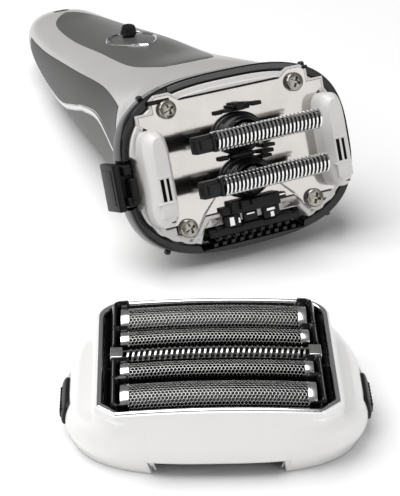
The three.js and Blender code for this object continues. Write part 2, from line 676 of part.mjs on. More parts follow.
function buildFoils() {
  for (const [name, y, half] of FOILS) {
    const sheet = foilSheet(half, 0.6, FOIL_FOOT, FOIL_TOP, FOIL_LENGTH);
    add(name, arched(sheet), "steel", foilHead).position.y = y;
  }
  const clip = (s) => spanBox(s, 22, 24.9, -COMB_HALF, COMB_HALF, 15, FOIL_TOP - 0.4);
  const comb = foilSheet(COMB_HALF, 0.6, FOIL_FOOT, FOIL_TOP, 45).add(clip(-1)).add(clip(1));
  add("comb", arched(comb), "steel", foilHead);
  const cutter = (half, top) => {
    const arc = Array.from({ length: 7 }, (_, i) => {
      const angle = (Math.PI * i) / 6;
      return [half * Math.cos(angle), top - half * 0.8 + half * 0.8 * Math.sin(angle)];
    });
    return sidePrism([[half, 11.8], ...arc, [-half, 11.8]], -20, 20);
  };
  add("cutter_rear", arched(cutter(3.2, 18)), "steel", foilHead).position.y = FOILS[0][1];
  add("cutter_front", arched(cutter(3.2, 18)), "steel", foilHead).position.y = FOILS[3][1];
  add("slit_cutter", arched(cutter(1.2, 18)), "steel", foilHead);
}

buildHandle();
buildSwitch();
buildElectrics();
buildHeadShell();
buildScrews();
buildEars();
buildBoots();
buildMotor();
buildBlades();
buildLatch();
buildTrimmer();
buildFoilFrame();
buildCassette();
buildFoils();

// The origin is under the middle of the whole, on the table.
const extent = new THREE.Box3().setFromObject(assembly, true);
const centre = extent.getCenter(new THREE.Vector3());
assembly.position.set(-centre.x, -centre.y, -extent.min.z);

export default shaver;
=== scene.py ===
"""Foil shaver lying on its back, with its foil head taken off and set down in front of it."""

import math

import bmesh
import bpy
import numpy as np
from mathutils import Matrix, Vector


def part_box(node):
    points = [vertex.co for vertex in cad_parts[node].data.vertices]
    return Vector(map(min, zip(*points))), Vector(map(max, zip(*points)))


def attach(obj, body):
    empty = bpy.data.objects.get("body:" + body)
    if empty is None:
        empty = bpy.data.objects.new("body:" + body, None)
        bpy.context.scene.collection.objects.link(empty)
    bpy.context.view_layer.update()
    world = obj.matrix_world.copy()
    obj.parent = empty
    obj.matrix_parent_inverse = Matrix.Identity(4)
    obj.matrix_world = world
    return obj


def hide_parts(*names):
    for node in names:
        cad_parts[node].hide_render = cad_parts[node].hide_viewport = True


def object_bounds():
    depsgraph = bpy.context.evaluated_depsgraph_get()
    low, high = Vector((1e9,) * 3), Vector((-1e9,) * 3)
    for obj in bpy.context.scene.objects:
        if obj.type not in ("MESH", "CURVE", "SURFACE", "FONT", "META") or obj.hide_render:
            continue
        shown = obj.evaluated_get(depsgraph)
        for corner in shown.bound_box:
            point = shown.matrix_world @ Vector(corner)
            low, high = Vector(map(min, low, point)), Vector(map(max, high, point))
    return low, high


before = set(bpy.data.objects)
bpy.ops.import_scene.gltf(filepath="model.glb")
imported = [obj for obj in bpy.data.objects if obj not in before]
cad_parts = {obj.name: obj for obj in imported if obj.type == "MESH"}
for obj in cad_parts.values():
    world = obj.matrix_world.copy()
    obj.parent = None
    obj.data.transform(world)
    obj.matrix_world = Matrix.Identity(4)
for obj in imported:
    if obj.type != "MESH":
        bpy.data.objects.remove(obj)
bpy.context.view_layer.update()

# ---- Front and rear shells ------------------------------------------------------------------
# Two moulded ABS halves in warm silver paint, parted along the sides and screwed together inside.
MM = 0.001
HEAD_LEAN = math.radians(24)
UP = np.array([0, math.sin(HEAD_LEAN), math.cos(HEAD_LEAN)])
OUT = np.array([0, -math.cos(HEAD_LEAN), math.sin(HEAD_LEAN)])
PLATE_TAB_TOP, PLATE_THICK, HEAD_HEIGHT = 20.0, 0.8, 27.0
plate_low, plate_high = (np.array(corner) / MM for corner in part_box("drive_plate"))
HEAD = np.array([
    (plate_low[0] + plate_high[0]) / 2,
    plate_high[1] - PLATE_TAB_TOP * UP[1] + PLATE_THICK * OUT[1],
    plate_high[2] - PLATE_TAB_TOP * UP[2],
])
# Handle sections: place along it, height, lean in degrees, half width, half thickness, squareness
HANDLE = np.array([
    [6.4, 23.3, 24, 33.0, 22.9, 3.0],
    [14, 23.2, 20, 29.8, 21.8, 2.8],
    [26, 22.0, 14, 25.4, 20.4, 2.6],
    [45, 19.0, 6, 22.6, 18.5, 2.5],
    [68, 16.6, 2, 20.3, 16.6, 2.4],
    [90, 14.1, 0, 17.8, 13.8, 2.4],
    [110, 12.7, 0, 15.1, 10.6, 2.4],
    [124, 12.2, 0, 12.2, 8.4, 2.4],
    [132, 11.8, 0, 8.6, 5.8, 2.4],
])


def spline(rows, t):
    """Catmull-Rom curve: a cubic between each two rows, its slopes taken from their neighbours."""
    rows = np.asarray(rows, float)
    i = np.clip(np.floor(t).astype(int), 0, len(rows) - 2)
    w = (t - i)[..., None]
    a, b, c, d = (rows[np.clip(i + k, 0, len(rows) - 1)] for k in (-1, 0, 1, 2))
    return b + 0.5 * w * (c - a + w * (2 * a - 5 * b + 4 * c - d + w * (3 * (b - c) + d - a)))


def signed_power(value, power):
    return np.sign(value) * np.abs(value) ** power


def skin(t, angle, lift=0.0):
    """Point of the handle: a superellipse that leans back, lifted outwards by growing both halves."""
    y, z, lean, half_width, half_thick, square = np.moveaxis(spline(HANDLE, t), -1, 0)
    x = (half_width + lift) * signed_power(np.cos(angle), 2 / square)
    v = (half_thick + lift) * signed_power(np.sin(angle), 2 / square)
    lean = np.radians(lean)
    return np.stack([x, y + v * np.sin(lean), z + v * np.cos(lean)], -1)


def root(rising, low, high):
    """Where a rising function crosses zero, by halving the span between two arrays 34 times."""
    for _ in range(34):
        middle = (low + high) / 2
        below = rising(middle) < 0
        low, high = np.where(below, middle, low), np.where(below, high, middle)
    return (low + high) / 2


def handle_place(points):
    """Handle millimetres, counted from the head, to metres in the frame."""
    return (points + np.array([HEAD[0], HEAD[1], 0])) * MM


def grid(points, wrap=False):
    """Corners and four-sided faces of a net of rows and columns; wrap closes each row to a ring."""
    rows, cols = points.shape[:2]
    index = np.arange(rows * cols).reshape(rows, cols)
    if wrap:
        index = np.concatenate([index, index[:, :1]], 1)
    faces = np.stack([index[:-1, :-1], index[:-1, 1:], index[1:, 1:], index[1:, :-1]], -1)
    return points.reshape(-1, 3), faces.reshape(-1, 4)


def joined(parts):
    """Several corner and face arrays as one."""
    start = np.cumsum([0] + [len(points) for points, _ in parts[:-1]])
    return (
        np.concatenate([points for points, _ in parts]),
        np.concatenate([faces + s for (_, faces), s in zip(parts, start)]),
    )


def piece(name, parts, nodes, body, material, flat_angle=35, wall=0.0):
    """A mesh object from corner and face arrays in metres: welded, turned outwards, riding its body."""
    points, faces = joined(parts)
    mesh = bpy.data.meshes.new(name)
    mesh.from_pydata(points.tolist(), [], faces.tolist())
    work = bmesh.new()
    work.from_mesh(mesh)
    bmesh.ops.remove_doubles(work, verts=work.verts, dist=2e-6)
    bmesh.ops.dissolve_degenerate(work, edges=work.edges, dist=1e-7)
    bmesh.ops.recalc_face_normals(work, faces=work.faces)
    if any(edge.is_boundary for edge in work.edges):
        middle = sum((f.calc_center_median() for f in work.faces), Vector()) / len(work.faces)
        facing = sum((f.calc_center_median() - middle).dot(f.normal) * f.calc_area() for f in work.faces)
        if facing < 0:
            bmesh.ops.reverse_faces(work, faces=work.faces)
    work.to_mesh(mesh)
    work.free()
    mesh.shade_smooth()
    mesh.set_sharp_from_angle(angle=math.radians(flat_angle))
    shape = bpy.data.objects.new(name, mesh)
    bpy.context.scene.collection.objects.link(shape)
    mesh.materials.append(material)
    if wall:
        shell = shape.modifiers.new("wall", "SOLIDIFY")
        shell.thickness, shell.offset = wall * MM, -1
    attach(shape, body)
    if nodes:
        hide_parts(*nodes)
    return shape


class Value:
    """A number or colour inside a shader; arithmetic on it adds Math nodes."""

    def __init__(self, shader, socket):
        self.shader, self.socket = shader, socket

    def math(self, operation, *others):
        return self.shader.node("ShaderNodeMath", {"operation": operation}, self, *others)

    def __add__(self, other):
        return self.math("ADD", other)

    def __mul__(self, other):
        return self.math("MULTIPLY", other)

    __radd__, __rmul__ = __add__, __mul__


class Shader:
    """A material and its node tree."""

    def __init__(self, name, **constants):
        self.material = bpy.data.materials.new(name)
        self.material.use_nodes = True
        self.tree = self.material.node_tree
        self.tree.nodes.clear()
        end = self.tree.nodes.new("ShaderNodeOutputMaterial")
        self.surface = self.tree.nodes.new("ShaderNodeBsdfPrincipled")
        self.tree.links.new(self.surface.outputs[0], end.inputs[0])
        self.set(self.surface, constants)

    def set(self, node, values):
        for key, value in values.items():
            place = node.inputs[key.replace("_", " ") if isinstance(key, str) else key]
            if isinstance(value, Value):
                self.tree.links.new(value.socket, place)
            else:
                place.default_value = value

    def node(self, kind, settings=None, *values, out=0, **named):
        """Any node: its settings first, then its inputs in order or by name."""
        node = self.tree.nodes.new(kind)
        for key, value in (settings or {}).items():
            setattr(node, key, value)
        self.set(node, dict(enumerate(values)))
        self.set(node, named)
        return Value(self, node.outputs[out])

    def place(self, *stretch):
        """Object coordinates, stretched."""
        where = self.node("ShaderNodeTexCoord", out="Object")
        return self.node("ShaderNodeMapping", None, Vector=where, Scale=stretch)

    def noise(self, stretch, detail=3.0, roughness=0.5):
        return self.node(
            "ShaderNodeTexNoise", None, Vector=self.place(*stretch), Scale=1.0, Detail=detail,
            Roughness=roughness)

    def mix(self, factor, dark, light):
        """Colour between two, by a value from 0 to 1."""
        node = self.tree.nodes.new("ShaderNodeMix")
        node.data_type = "RGBA"
        self.set(node, {0: factor, 6: (*dark, 1), 7: (*light, 1)})
        return Value(self, node.outputs[2])

    def bump(self, height, distance, strength=1.0):
        return self.node(
            "ShaderNodeBump", None, Height=height, Distance=distance * MM, Strength=strength)

    def done(self, **links):
        self.set(self.surface, links)
        return self.material


def moulded(name, dark, light, rough, metal=0.0, coat=0.0, grain=900, relief=0.01, smear=60, shine=0.5):
    """Moulded or painted surface: a faint mottle, uneven gloss and a fine grain in the relief."""
    s = Shader(name, Metallic=metal, Coat_Weight=coat, Coat_Roughness=0.08, Specular_IOR_Level=shine)
    mottle = s.noise((smear,) * 3, 4)
    fine = s.noise((grain,) * 3, 2)
    return s.done(
        Base_Color=s.mix(mottle, dark, light),
        Roughness=mottle * 0.12 + (rough - 0.06),
        Normal=s.bump(fine, relief))


silver_paint = moulded("silver_paint", (0.57, 0.56, 0.545), (0.62, 0.61, 0.595), 0.34, 0.35, 0.2, 2500,
                       0.004)
PARTING_HALF_GAP, SHELL_WALL, TAIL_ROUND, TAIL_END = 0.15, 1.8, 1.8, 132.0
CAP_HALF_X, CAP_HALF_Z, CAP_SQUARE, SKIN_ROWS, SKIN_COLUMNS = 5.9, 3.5, 3.0, 110, 121


def parting(y):
    """Height of the line along which the two shells meet."""
    return np.interp(y, [30, 142], [20, 12])


def ring_angle(t, line):
    """Ring angle, on the right side, where the handle's skin reaches a line given as height over y."""
    def above(angle):
        point = skin(t, angle)
        return point[..., 2] - line(point[..., 1])
    return root(above, np.full(t.shape, -math.pi / 2), np.full(t.shape, math.pi / 2))


def shell_surface(side):
    """Lofted skin from the neck to the tail, rounded over at the end and turned in round the cap."""
    t_of = lambda y: np.interp(y, spline(HANDLE, np.linspace(7, 8, 60))[:, 0], np.linspace(7, 8, 60))
    turn = np.linspace(0, math.pi / 2, 8)[1:]
    y_turn = TAIL_END - TAIL_ROUND * (1 - np.sin(turn))
    t = np.concatenate([np.linspace(0, t_of(TAIL_END - TAIL_ROUND), SKIN_ROWS), t_of(y_turn)])
    lift = np.concatenate([np.zeros(SKIN_ROWS), -TAIL_ROUND * (1 - np.cos(turn))])
    start = ring_angle(t, lambda y: parting(y) + side * PARTING_HALF_GAP)
    sweep = math.pi - 2 * start if side > 0 else -math.pi - 2 * start
    angle = start[:, None] + sweep[:, None] * np.linspace(0, 1, SKIN_COLUMNS)
    body = skin(t[:, None] + 0 * angle, angle, lift[:, None])
    power = 2 / CAP_SQUARE
    hole = np.stack([
        CAP_HALF_X * signed_power(np.cos(angle[-1]), power),
        np.full(SKIN_COLUMNS, TAIL_END),
        HANDLE[-1, 1] + CAP_HALF_Z * signed_power(np.sin(angle[-1]), power)], -1)
    sunk = hole - [0, 1.6, 0]
    return np.concatenate([body, hole[None], sunk[None]])


for name, side in (("front_shell", 1), ("rear_shell", -1)):
    piece(f"{name}_skin", [grid(handle_place(shell_surface(side)))], [name], "handle",
          silver_paint, wall=SHELL_WALL)

# ---- Front panel ----------------------------------------------------------------------------
# Thin brushed metal plate, glued into a shallow seat in the front shell, round the power switch.
PANEL_SIDE = [[0, 122], [7.2, 113], [10.6, 92], [11.6, 68], [11.4, 46], [8.6, 34]]
PANEL_FRONT = [[7.4, 31.6], [4.5, 30.2], [0, 30.0]]
PANEL_START, PANEL_LENGTH = 30.0, 92.0
EDGE_STEPS = np.array([0, 0, 0.012, 0.035])
EDGE_LIFT = np.array([-0.7, 0.0, 0.09, 0.14])


def over(x, y, lift=0.0):
    """Point of the handle's upper skin above a place seen from above."""
    def beyond(t):
        s = np.moveaxis(spline(HANDLE, t), -1, 0)
        v = s[4] * (1 - np.minimum(np.abs(x) / s[3], 1) ** s[5]) ** (1 / s[5])
        return s[0] + v * np.sin(np.radians(s[2])) - y
    t = root(beyond, np.zeros(np.shape(x)), np.full(np.shape(x), 8.0))
    s = np.moveaxis(spline(HANDLE, t), -1, 0)
    v = s[4] * (1 - np.minimum(np.abs(x) / s[3], 1) ** s[5]) ** (1 / s[5]) + lift
    lean = np.radians(s[2])
    return np.stack([x, y + lift * np.sin(lean), s[1] + v * np.cos(lean)], -1)


def edged(count):
    """Steps from 0 to 1 that crowd at both ends, and the lift that rounds a let-in piece's edge there."""
    middle = np.linspace(0, 1, count + 2)[1:-1]
    middle = middle * 0.93 + 0.035
    steps = np.concatenate([EDGE_STEPS, middle, 1 - EDGE_STEPS[::-1]])
    lift = np.concatenate([EDGE_LIFT, np.full(count, EDGE_LIFT[-1]), EDGE_LIFT[::-1]])
    return steps, lift


def lifted(points, amount):
    """Net of points moved along its own normals."""
    along, across = np.gradient(points, axis=0), np.gradient(points, axis=1)
    normal = np.cross(along, across)
    length = np.linalg.norm(normal, axis=-1, keepdims=True)
    normal = normal / np.maximum(length, 1e-9)
    outward = points - points.mean((0, 1))
    sign = np.sign((normal * outward).sum())
    return points + sign * normal * amount[..., None]


def brushed(name, dark, light, rough, metal=0.75):
    """Brushed metal: long thin streaks in the colour, gloss and relief, and a slow shade along it."""
    s = Shader(name, Metallic=metal, Coat_Weight=0.25, Coat_Roughness=0.15)
    streak = s.noise((5000, 90, 5000), 2)
    slow = s.noise((14, 20, 14), 2)
    return s.done(
        Base_Color=s.mix(streak * 0.5 + slow * 0.5, dark, light),
        Roughness=streak * 0.2 + (rough - 0.1),
        Normal=s.bump(streak, 0.006, 0.6))


graphite = brushed("graphite_brushed", (0.095, 0.095, 0.092), (0.165, 0.165, 0.16), 0.4, 0.4)
side_curve = spline(PANEL_SIDE, np.linspace(0, len(PANEL_SIDE) - 1, 120))
outline_y = np.concatenate([side_curve[:, 1], [p[1] for p in PANEL_FRONT]])[::-1]
outline_x = np.concatenate([side_curve[:, 0], [p[0] for p in PANEL_FRONT]])[::-1]
rows, row_lift = edged(90)
cols, col_lift = edged(48)
panel_y = PANEL_START + PANEL_LENGTH * (0.25 * (1 - np.cos(math.pi * rows)) + 0.5 * rows)
panel_half = np.interp(panel_y, outline_y, outline_x)
panel_x = panel_half[:, None] * (2 * cols - 1)
panel = over(panel_x, panel_y[:, None] + 0 * panel_x, np.minimum(row_lift[:, None], col_lift))
piece("front_panel_plate", [grid(handle_place(panel))], ["front_panel"], "handle",
      graphite)

# ---- Side grips -----------------------------------------------------------------------------
# Soft touch rubber moulded over both sides of the shell, thick enough to stand a hair above the paint.
GRIP_TOP = [[121, 15.2], [102, 18.4], [78, 23.8], [51, 29.9], [30, 33]]
WAVE = [[121, 12.6], [104, 7.6], [86, 8.4], [70, 14.6], [59, 19.2], [45, 22.6], [30, 20]]
GRIP_START, GRIP_BEND, GRIP_END, GRIP_TIP = 25.0, 30.0, 121.0, 27.0


def line_of(places):
    """Height over y of a smooth line through places given from the tail to the head."""
    fine = spline(places, np.linspace(0, len(places) - 1, 200))[::-1]
    return lambda y: np.interp(y, fine[:, 0], fine[:, 1])


grip_top, wave = line_of(GRIP_TOP), line_of(WAVE)


def beside(y, z, side):
    """Point of the handle's side skin at a place seen from the side."""
    def beyond(t):
        s = np.moveaxis(spline(HANDLE, t), -1, 0)
        return s[0] + (z - s[1]) * np.tan(np.radians(s[2])) - y
    t = root(beyond, np.zeros(np.shape(y)), np.full(np.shape(y), 8.0))
    s = np.moveaxis(spline(HANDLE, t), -1, 0)
    v = (z - s[1]) / np.cos(np.radians(s[2]))
    x = s[3] * (1 - np.minimum(np.abs(v) / s[4], 1) ** s[5]) ** (1 / s[5])
    return np.stack([side * x, y, z], -1)


def soft_touch(name, dark, light):
    """Soft rubber: fine pebble relief and a dry sheen that varies over a finger's width."""
    s = Shader(name, Metallic=0.0, Sheen_Weight=0.1, Sheen_Roughness=0.5)
    pebble = s.node("ShaderNodeTexVoronoi", None, Vector=s.place(2600, 2600, 2600), Scale=1.0)
    slow = s.noise((45, 45, 45), 3)
    return s.done(
        Base_Color=s.mix(slow, dark, light),
        Roughness=slow * 0.16 + 0.5,
        Normal=s.bump(pebble, 0.012, 0.7))


grip_soft = soft_touch("grip_soft_touch", (0.045, 0.045, 0.0435), (0.060, 0.060, 0.058))
rows, row_lift = edged(100)
cols, col_lift = edged(24)
grip_y = (GRIP_START + (GRIP_END - GRIP_START) * rows)[:, None] + 0 * cols
grip_front = [GRIP_START, GRIP_BEND]
grip_low = np.where(
    grip_y < GRIP_BEND, np.interp(grip_y, grip_front, [GRIP_TIP, wave(GRIP_BEND) + 1]), wave(grip_y) + 1)
grip_high = np.where(
    grip_y < GRIP_BEND, np.interp(grip_y, grip_front, [GRIP_TIP, grip_top(GRIP_BEND)]), grip_top(grip_y))
for side, word in ((-1, "left"), (1, "right")):
    flush = beside(grip_y, grip_low + (grip_high - grip_low) * cols, side)
    raised = lifted(flush, np.minimum(row_lift[:, None], col_lift) + 0.05)
    piece(f"{word}_grip_pad", [grid(handle_place(raised))], [f"{word}_grip"], "handle",
          grip_soft)

# ---- Wave trims -----------------------------------------------------------------------------
# Thin bright strips, pressed in along the lower edge of both side grips.
TRIM_HALF, TRIM_RISE, TRIM_ACROSS, TRIM_START, TRIM_END = 0.7, 0.45, 13, 28, 121


def bright_metal(name, dark, light, rough, metal=1.0):
    """Polished metal: faint cloudy wear in the colour and gloss, hairline scratches in the relief."""
    s = Shader(name, Metallic=metal)
    cloud = s.noise((120, 120, 120), 4)
    scratch = s.noise((300, 4000, 4000), 2)
    return s.done(
        Base_Color=s.mix(cloud, dark, light),
        Roughness=cloud * 0.08 + (rough - 0.04),
        Normal=s.bump(scratch, 0.003, 0.4))


chrome = bright_metal("chrome_plate", (0.72, 0.72, 0.73), (0.84, 0.84, 0.85), 0.12)
across = np.linspace(0, math.pi, TRIM_ACROSS)
trim_y = np.linspace(TRIM_START, TRIM_END, 160)[:, None] + 0 * across
ends = np.clip(np.minimum(trim_y - TRIM_START, TRIM_END - trim_y) / 1.5, 0, 1) ** 0.5
trim_z = wave(trim_y) - TRIM_HALF * np.cos(across) * ends
trim_lift = TRIM_RISE * np.sin(across) * ends - 0.15
for side, word in ((-1, "left"), (1, "right")):
    strip = lifted(beside(trim_y, trim_z, side), trim_lift)
    piece(f"wave_trim_{word}_strip", [grid(handle_place(strip))], [f"wave_trim_{word}"], "handle",
          chrome)

# ---- Rear grip ------------------------------------------------------------------------------
# Soft touch rubber round the underside of the handle, below the wave trims.
REAR_START, REAR_END = 28.0, 104.0
rear_soft = soft_touch("rear_soft_touch", (0.085, 0.085, 0.082), (0.105, 0.105, 0.102))
t_fine = np.linspace(0, 8, 400)
y_fine = spline(HANDLE, t_fine)[:, 0]
rows, row_lift = edged(100)
cols, col_lift = edged(70)
rear_t = np.interp(REAR_START + (REAR_END - REAR_START) * rows, y_fine, t_fine)
rear_from = ring_angle(rear_t, lambda y: wave(y) - 1)
rear_angle = rear_from[:, None] - (math.pi + 2 * rear_from)[:, None] * cols
rear = skin(rear_t[:, None] + 0 * rear_angle, rear_angle, np.minimum(row_lift[:, None], col_lift))
rear[..., 2] = np.maximum(rear[..., 2], 0.0)
piece("rear_grip_pad", [grid(handle_place(rear))], ["rear_grip"], "handle", rear_soft)

# ---- Switch: ring, dish and knob ------------------------------------------------------------
# Chromed teardrop ring round a shallow gloss dish, and a small ribbed thumb knob that slides in it.
SWITCH_Y, SWITCH_HALF, SWITCH_LENGTH, RING_WIDE = 69.0, 7.6, 10.0, 1.1


def teardrop(inset, count=128):
    """Outline round at the tail and pointed towards the head: a smooth curve through five places a side."""
    half = SWITCH_HALF - inset
    side = [[0, SWITCH_LENGTH - inset], [half * 0.72, 7.6], [half, 2], [half * 0.62, -5.5],
            [0, -SWITCH_LENGTH + inset * 1.6]]
    right = spline(side, np.linspace(0, 4, count // 2 + 1))
    left = right[1:-1][::-1] * [-1, 1]
    return np.concatenate([right, left]) + [0, SWITCH_Y]


profile = np.array([[0.0, -0.3], [0.0, 0.2], [0.25, 0.5], [0.55, 0.58], [0.85, 0.45], [1.1, 0.1],
                    [1.1, -0.6]])
loops = np.stack([teardrop(inset) for inset in profile[:, 0]])
ring = over(loops[..., 0], loops[..., 1], profile[:, 1:] + 0 * loops[..., 0])
piece("chrome_ring_band", [grid(handle_place(ring), wrap=True)], ["chrome_ring"], "handle",
      chrome)


def gloss_plastic(name, dark, light, rough=0.12):
    """Gloss moulding: faint haze, a few soft smears in the gloss and a very shallow moulded ripple."""
    s = Shader(name, Coat_Weight=0.15, Coat_Roughness=0.05, Specular_IOR_Level=0.35)
    haze = s.noise((150, 150, 150), 5)
    ripple = s.noise((500, 500, 500), 1)
    return s.done(
        Base_Color=s.mix(haze, dark, light),
        Roughness=haze * 0.14 + (rough - 0.05),
        Normal=s.bump(ripple, 0.01, 0.35))


gloss_black = gloss_plastic("gloss_black", (0.003, 0.003, 0.003), (0.006, 0.006, 0.006))
dish_tone = gloss_plastic("switch_dish_gloss", (0.045, 0.045, 0.044), (0.07, 0.07, 0.068), 0.2)
share = np.linspace(1, 0, 16)
rim_line = teardrop(RING_WIDE)
spread = np.array([0, SWITCH_Y]) + (rim_line - [0, SWITCH_Y]) * share[:, None, None]
ripples = 0.05 * np.sin(share * 22)[:, None] - 0.35 * (1 - share[:, None] ** 2) + 0.18
dish = over(spread[..., 0], spread[..., 1], ripples + 0 * spread[..., 0])
piece("switch_dish_face", [grid(handle_place(dish), wrap=True)], ["switch_dish"], "handle",
      dish_tone)

matte_black = moulded("matte_black", (0.003, 0.003, 0.003), (0.005, 0.005, 0.005), 0.42, 0.0, 0.0, 1800,
                      0.01, shine=0.25)
knob_low, knob_high = (np.array(corner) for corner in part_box("switch_knob"))
knob_middle = (knob_low + knob_high) / 2
turn = np.linspace(0, 2 * math.pi, 72, endpoint=False)
knob_rows = np.array([[2.4, 4.3], [2.4, 4.6], [2.2, 4.8], [2.05, 5.5], [1.95, 6.2], [1.75, 6.5],
                      [1.0, 6.55], [0, 6.35]])
ribs = 1 + 0.045 * np.sign(np.sin(turn * 12)) * ((knob_rows[:, :1] > 1.7) & (knob_rows[:, 1:] > 4))
knob = np.stack([
    knob_middle[0] / MM + knob_rows[:, :1] * ribs * np.cos(turn),
    knob_middle[1] / MM + knob_rows[:, :1] * ribs * np.sin(turn),
    knob_low[2] / MM + knob_rows[:, 1:] + 0 * turn], -1)
stem_rows = np.array([[0, 2.6], [1.9, 2.6], [1.9, 4.5], [0, 4.5]])
stem = np.stack([
    knob_middle[0] / MM + stem_rows[:, :1] * np.cos(turn),
    knob_middle[1] / MM + stem_rows[:, :1] * np.sin(turn),
    knob_low[2] / MM + stem_rows[:, 1:] + 0 * turn], -1)
piece("switch_knob_cap", [grid(knob * MM, wrap=True), grid(stem * MM, wrap=True)], ["switch_knob"],
      "switch", matte_black)

# ---- Charge light window --------------------------------------------------------------------
# Smoked clear window near the tail, flush with the paint, over the charge light.
WINDOW_Y, WINDOW_HALF_X, WINDOW_HALF_Y = 126.0, 2.6, 1.5
share = np.array([1.0, 1.0, 0.94, 0.8, 0.5, 0.0])
window_lift = np.array([-0.5, 0.0, 0.12, 0.2, 0.24, 0.25])
turn = np.linspace(0, 2 * math.pi, 64, endpoint=False)
wx = WINDOW_HALF_X * signed_power(np.cos(turn), 0.6) * share[:, None]
wy = WINDOW_Y + WINDOW_HALF_Y * signed_power(np.sin(turn), 0.6) * share[:, None]
window = over(wx, wy, window_lift[:, None] + 0 * wx)
piece("charge_light_lens", [grid(handle_place(window), wrap=True)], ["charge_light_window"], "handle",
      gloss_black)

# ---- Head rim -------------------------------------------------------------------------------
# Gloss black glass-filled nylon ring, screwed to the shells from inside; the foil head slips over it.
RIM_HALF_X, RIM_HALF_V, RIM_MIDDLE, RIM_SQUARE, RIM_WALL = 34.3, 24.2, -0.8, 2.9, 2.2
LATCH_LOW, LATCH_HIGH, LATCH_SEAT, LATCH_BAY, TRIMMER_HALF = -8.3, 5.3, -5.3, 29.8, 15.8
TRIMMER_FLOOR = 5.0


def head_place(points):
    """Head millimetres (across, up the plate, out of it) to metres in the frame."""
    return (HEAD + points[..., :1] * [1, 0, 0] + points[..., 1:2] * UP + points[..., 2:3] * OUT) * MM


def rim_line_at(angle, inset):
    """Superellipse of the rim, a given distance inside its outer edge."""
    return (
        (RIM_HALF_X - inset) * signed_power(np.cos(angle), 2 / RIM_SQUARE),
        RIM_MIDDLE + (RIM_HALF_V - inset) * signed_power(np.sin(angle), 2 / RIM_SQUARE))


limits = np.arcsin([
    signed_power((v - RIM_MIDDLE) / RIM_HALF_V, RIM_SQUARE / 2) for v in (LATCH_LOW, LATCH_HIGH)])
jumps = np.concatenate([limits, math.pi - limits])
turn = np.sort(np.concatenate([
    np.linspace(0, 2 * math.pi, 720, endpoint=False), (jumps - 2e-4) % (2 * math.pi),
    (jumps + 2e-4) % (2 * math.pi)]))
rim_profile = np.array([
    [0.35, -7.0], [0.08, -6.85], [0, -6.5], [0, -2.1], [0.08, -1.6], [0.3, -1.28], [0.6, -1.2],
    [1.7, -1.2],
    [2.0, -1.3], [RIM_WALL, -1.7], [RIM_WALL, -6.8], [2.0, -7.0]])
rim_x, rim_v = rim_line_at(turn, rim_profile[:, :1])
rim_u = rim_profile[:, 1:] + 0 * rim_x
at_latch = (rim_v[3] > LATCH_LOW) & (rim_v[3] < LATCH_HIGH) & (rim_x[3] < 0)
rim_u = np.where(at_latch, np.minimum(rim_u, LATCH_SEAT), rim_u)
roof = (TRIMMER_FLOOR - HEAD_HEIGHT - rim_u * OUT[2]) / UP[2]
rim_v = np.where((np.abs(rim_x) < TRIMMER_HALF) & (rim_v < -10) & (rim_v > roof), roof, rim_v)
rim = np.stack([rim_x, rim_v, rim_u], -1)
rim = np.concatenate([rim, rim[:1]])


def block(x, y, z, radius=0.3, steps=3):
    """Rounded block between two corners: a ball cut in eight, its parts pulled out to the corners."""
    low, high = np.array([min(x), min(y), min(z)], float), np.array([max(x), max(y), max(z)], float)
    radius = min(radius, *((high - low) / 2 - 1e-3))
    quarter = np.linspace(0, math.pi / 2, steps + 1)
    turn = np.concatenate([quarter + k * math.pi / 2 for k in range(4)])
    rise = np.concatenate([quarter - math.pi / 2, quarter])
    side = np.repeat([[1, 1], [-1, 1], [-1, -1], [1, -1]], steps + 1, 0)
    level = np.repeat([-1, 1], steps + 1)
    ball = np.stack([
        np.cos(rise)[:, None] * np.cos(turn), np.cos(rise)[:, None] * np.sin(turn),
        np.sin(rise)[:, None] + 0 * turn], -1)
    corner = np.stack([
        side[:, 0] + 0 * level[:, None], side[:, 1] + 0 * level[:, None],
        level[:, None] + 0 * side[:, 0]], -1)
    points = (low + high) / 2 + corner * ((high - low) / 2 - radius) + ball * radius
    pole = np.broadcast_to((low + high) / 2, (1, len(turn), 3)).copy()
    ends = [pole * [1, 1, 0] + [0, 0, z_end] for z_end in (low[2], high[2])]
    return np.concatenate([ends[0], points, ends[1]])


def blocks(sizes, place, **options):
    return [grid(place(block(*size, **options)), wrap=True) for size in sizes]


NUBS = [(sx * 24.6, RIM_MIDDLE + sy * 21.0) for sx in (-1, 1) for sy in (-1, 1)]
nubs = blocks([((x - 0.8, x + 0.8), (v - 0.8, v + 0.8), (-5.5, -3.2)) for x, v in NUBS], head_place,
              radius=0.75, steps=5)
piece("head_rim_ring", [grid(head_place(rim), wrap=True), *nubs], ["head_rim"], "handle",
      gloss_black)

# Satin band let into the upper part of the rim, with two catches at its left end and one at its right.
band_x = np.linspace(-17.5, 20.5, 60)
band_rows = np.array([
    [0.45, -1.4], [0.45, -0.98], [0.6, -0.85], [1.7, -0.85], [1.85, -0.98], [1.85, -1.4]])
band_v = RIM_MIDDLE + (RIM_HALF_V - band_rows[:, :1]) * (
    1 - (np.abs(band_x) / RIM_HALF_X) ** RIM_SQUARE) ** (1 / RIM_SQUARE)
band = np.stack([band_x + 0 * band_v, band_v, band_rows[:, 1:] + 0 * band_v], -1)
catches = blocks([
    ((-24, -17.8), (18.0, 19.2), (-1.4, 0.2)), ((-21.5, -18.4), (19.2, 20.6), (-1.4, -0.3)),
    ((22.5, 24.4), (19.0, 20.0), (-1.4, 0.0))], head_place, radius=0.25)
band_tone = moulded("rim_band_satin", (0.06, 0.06, 0.06), (0.09, 0.09, 0.09), 0.38, 0.2, 0.1)
piece("rim_band", [grid(head_place(band))], [], "handle", band_tone)
piece("rim_catches", catches, [], "handle", matte_black)

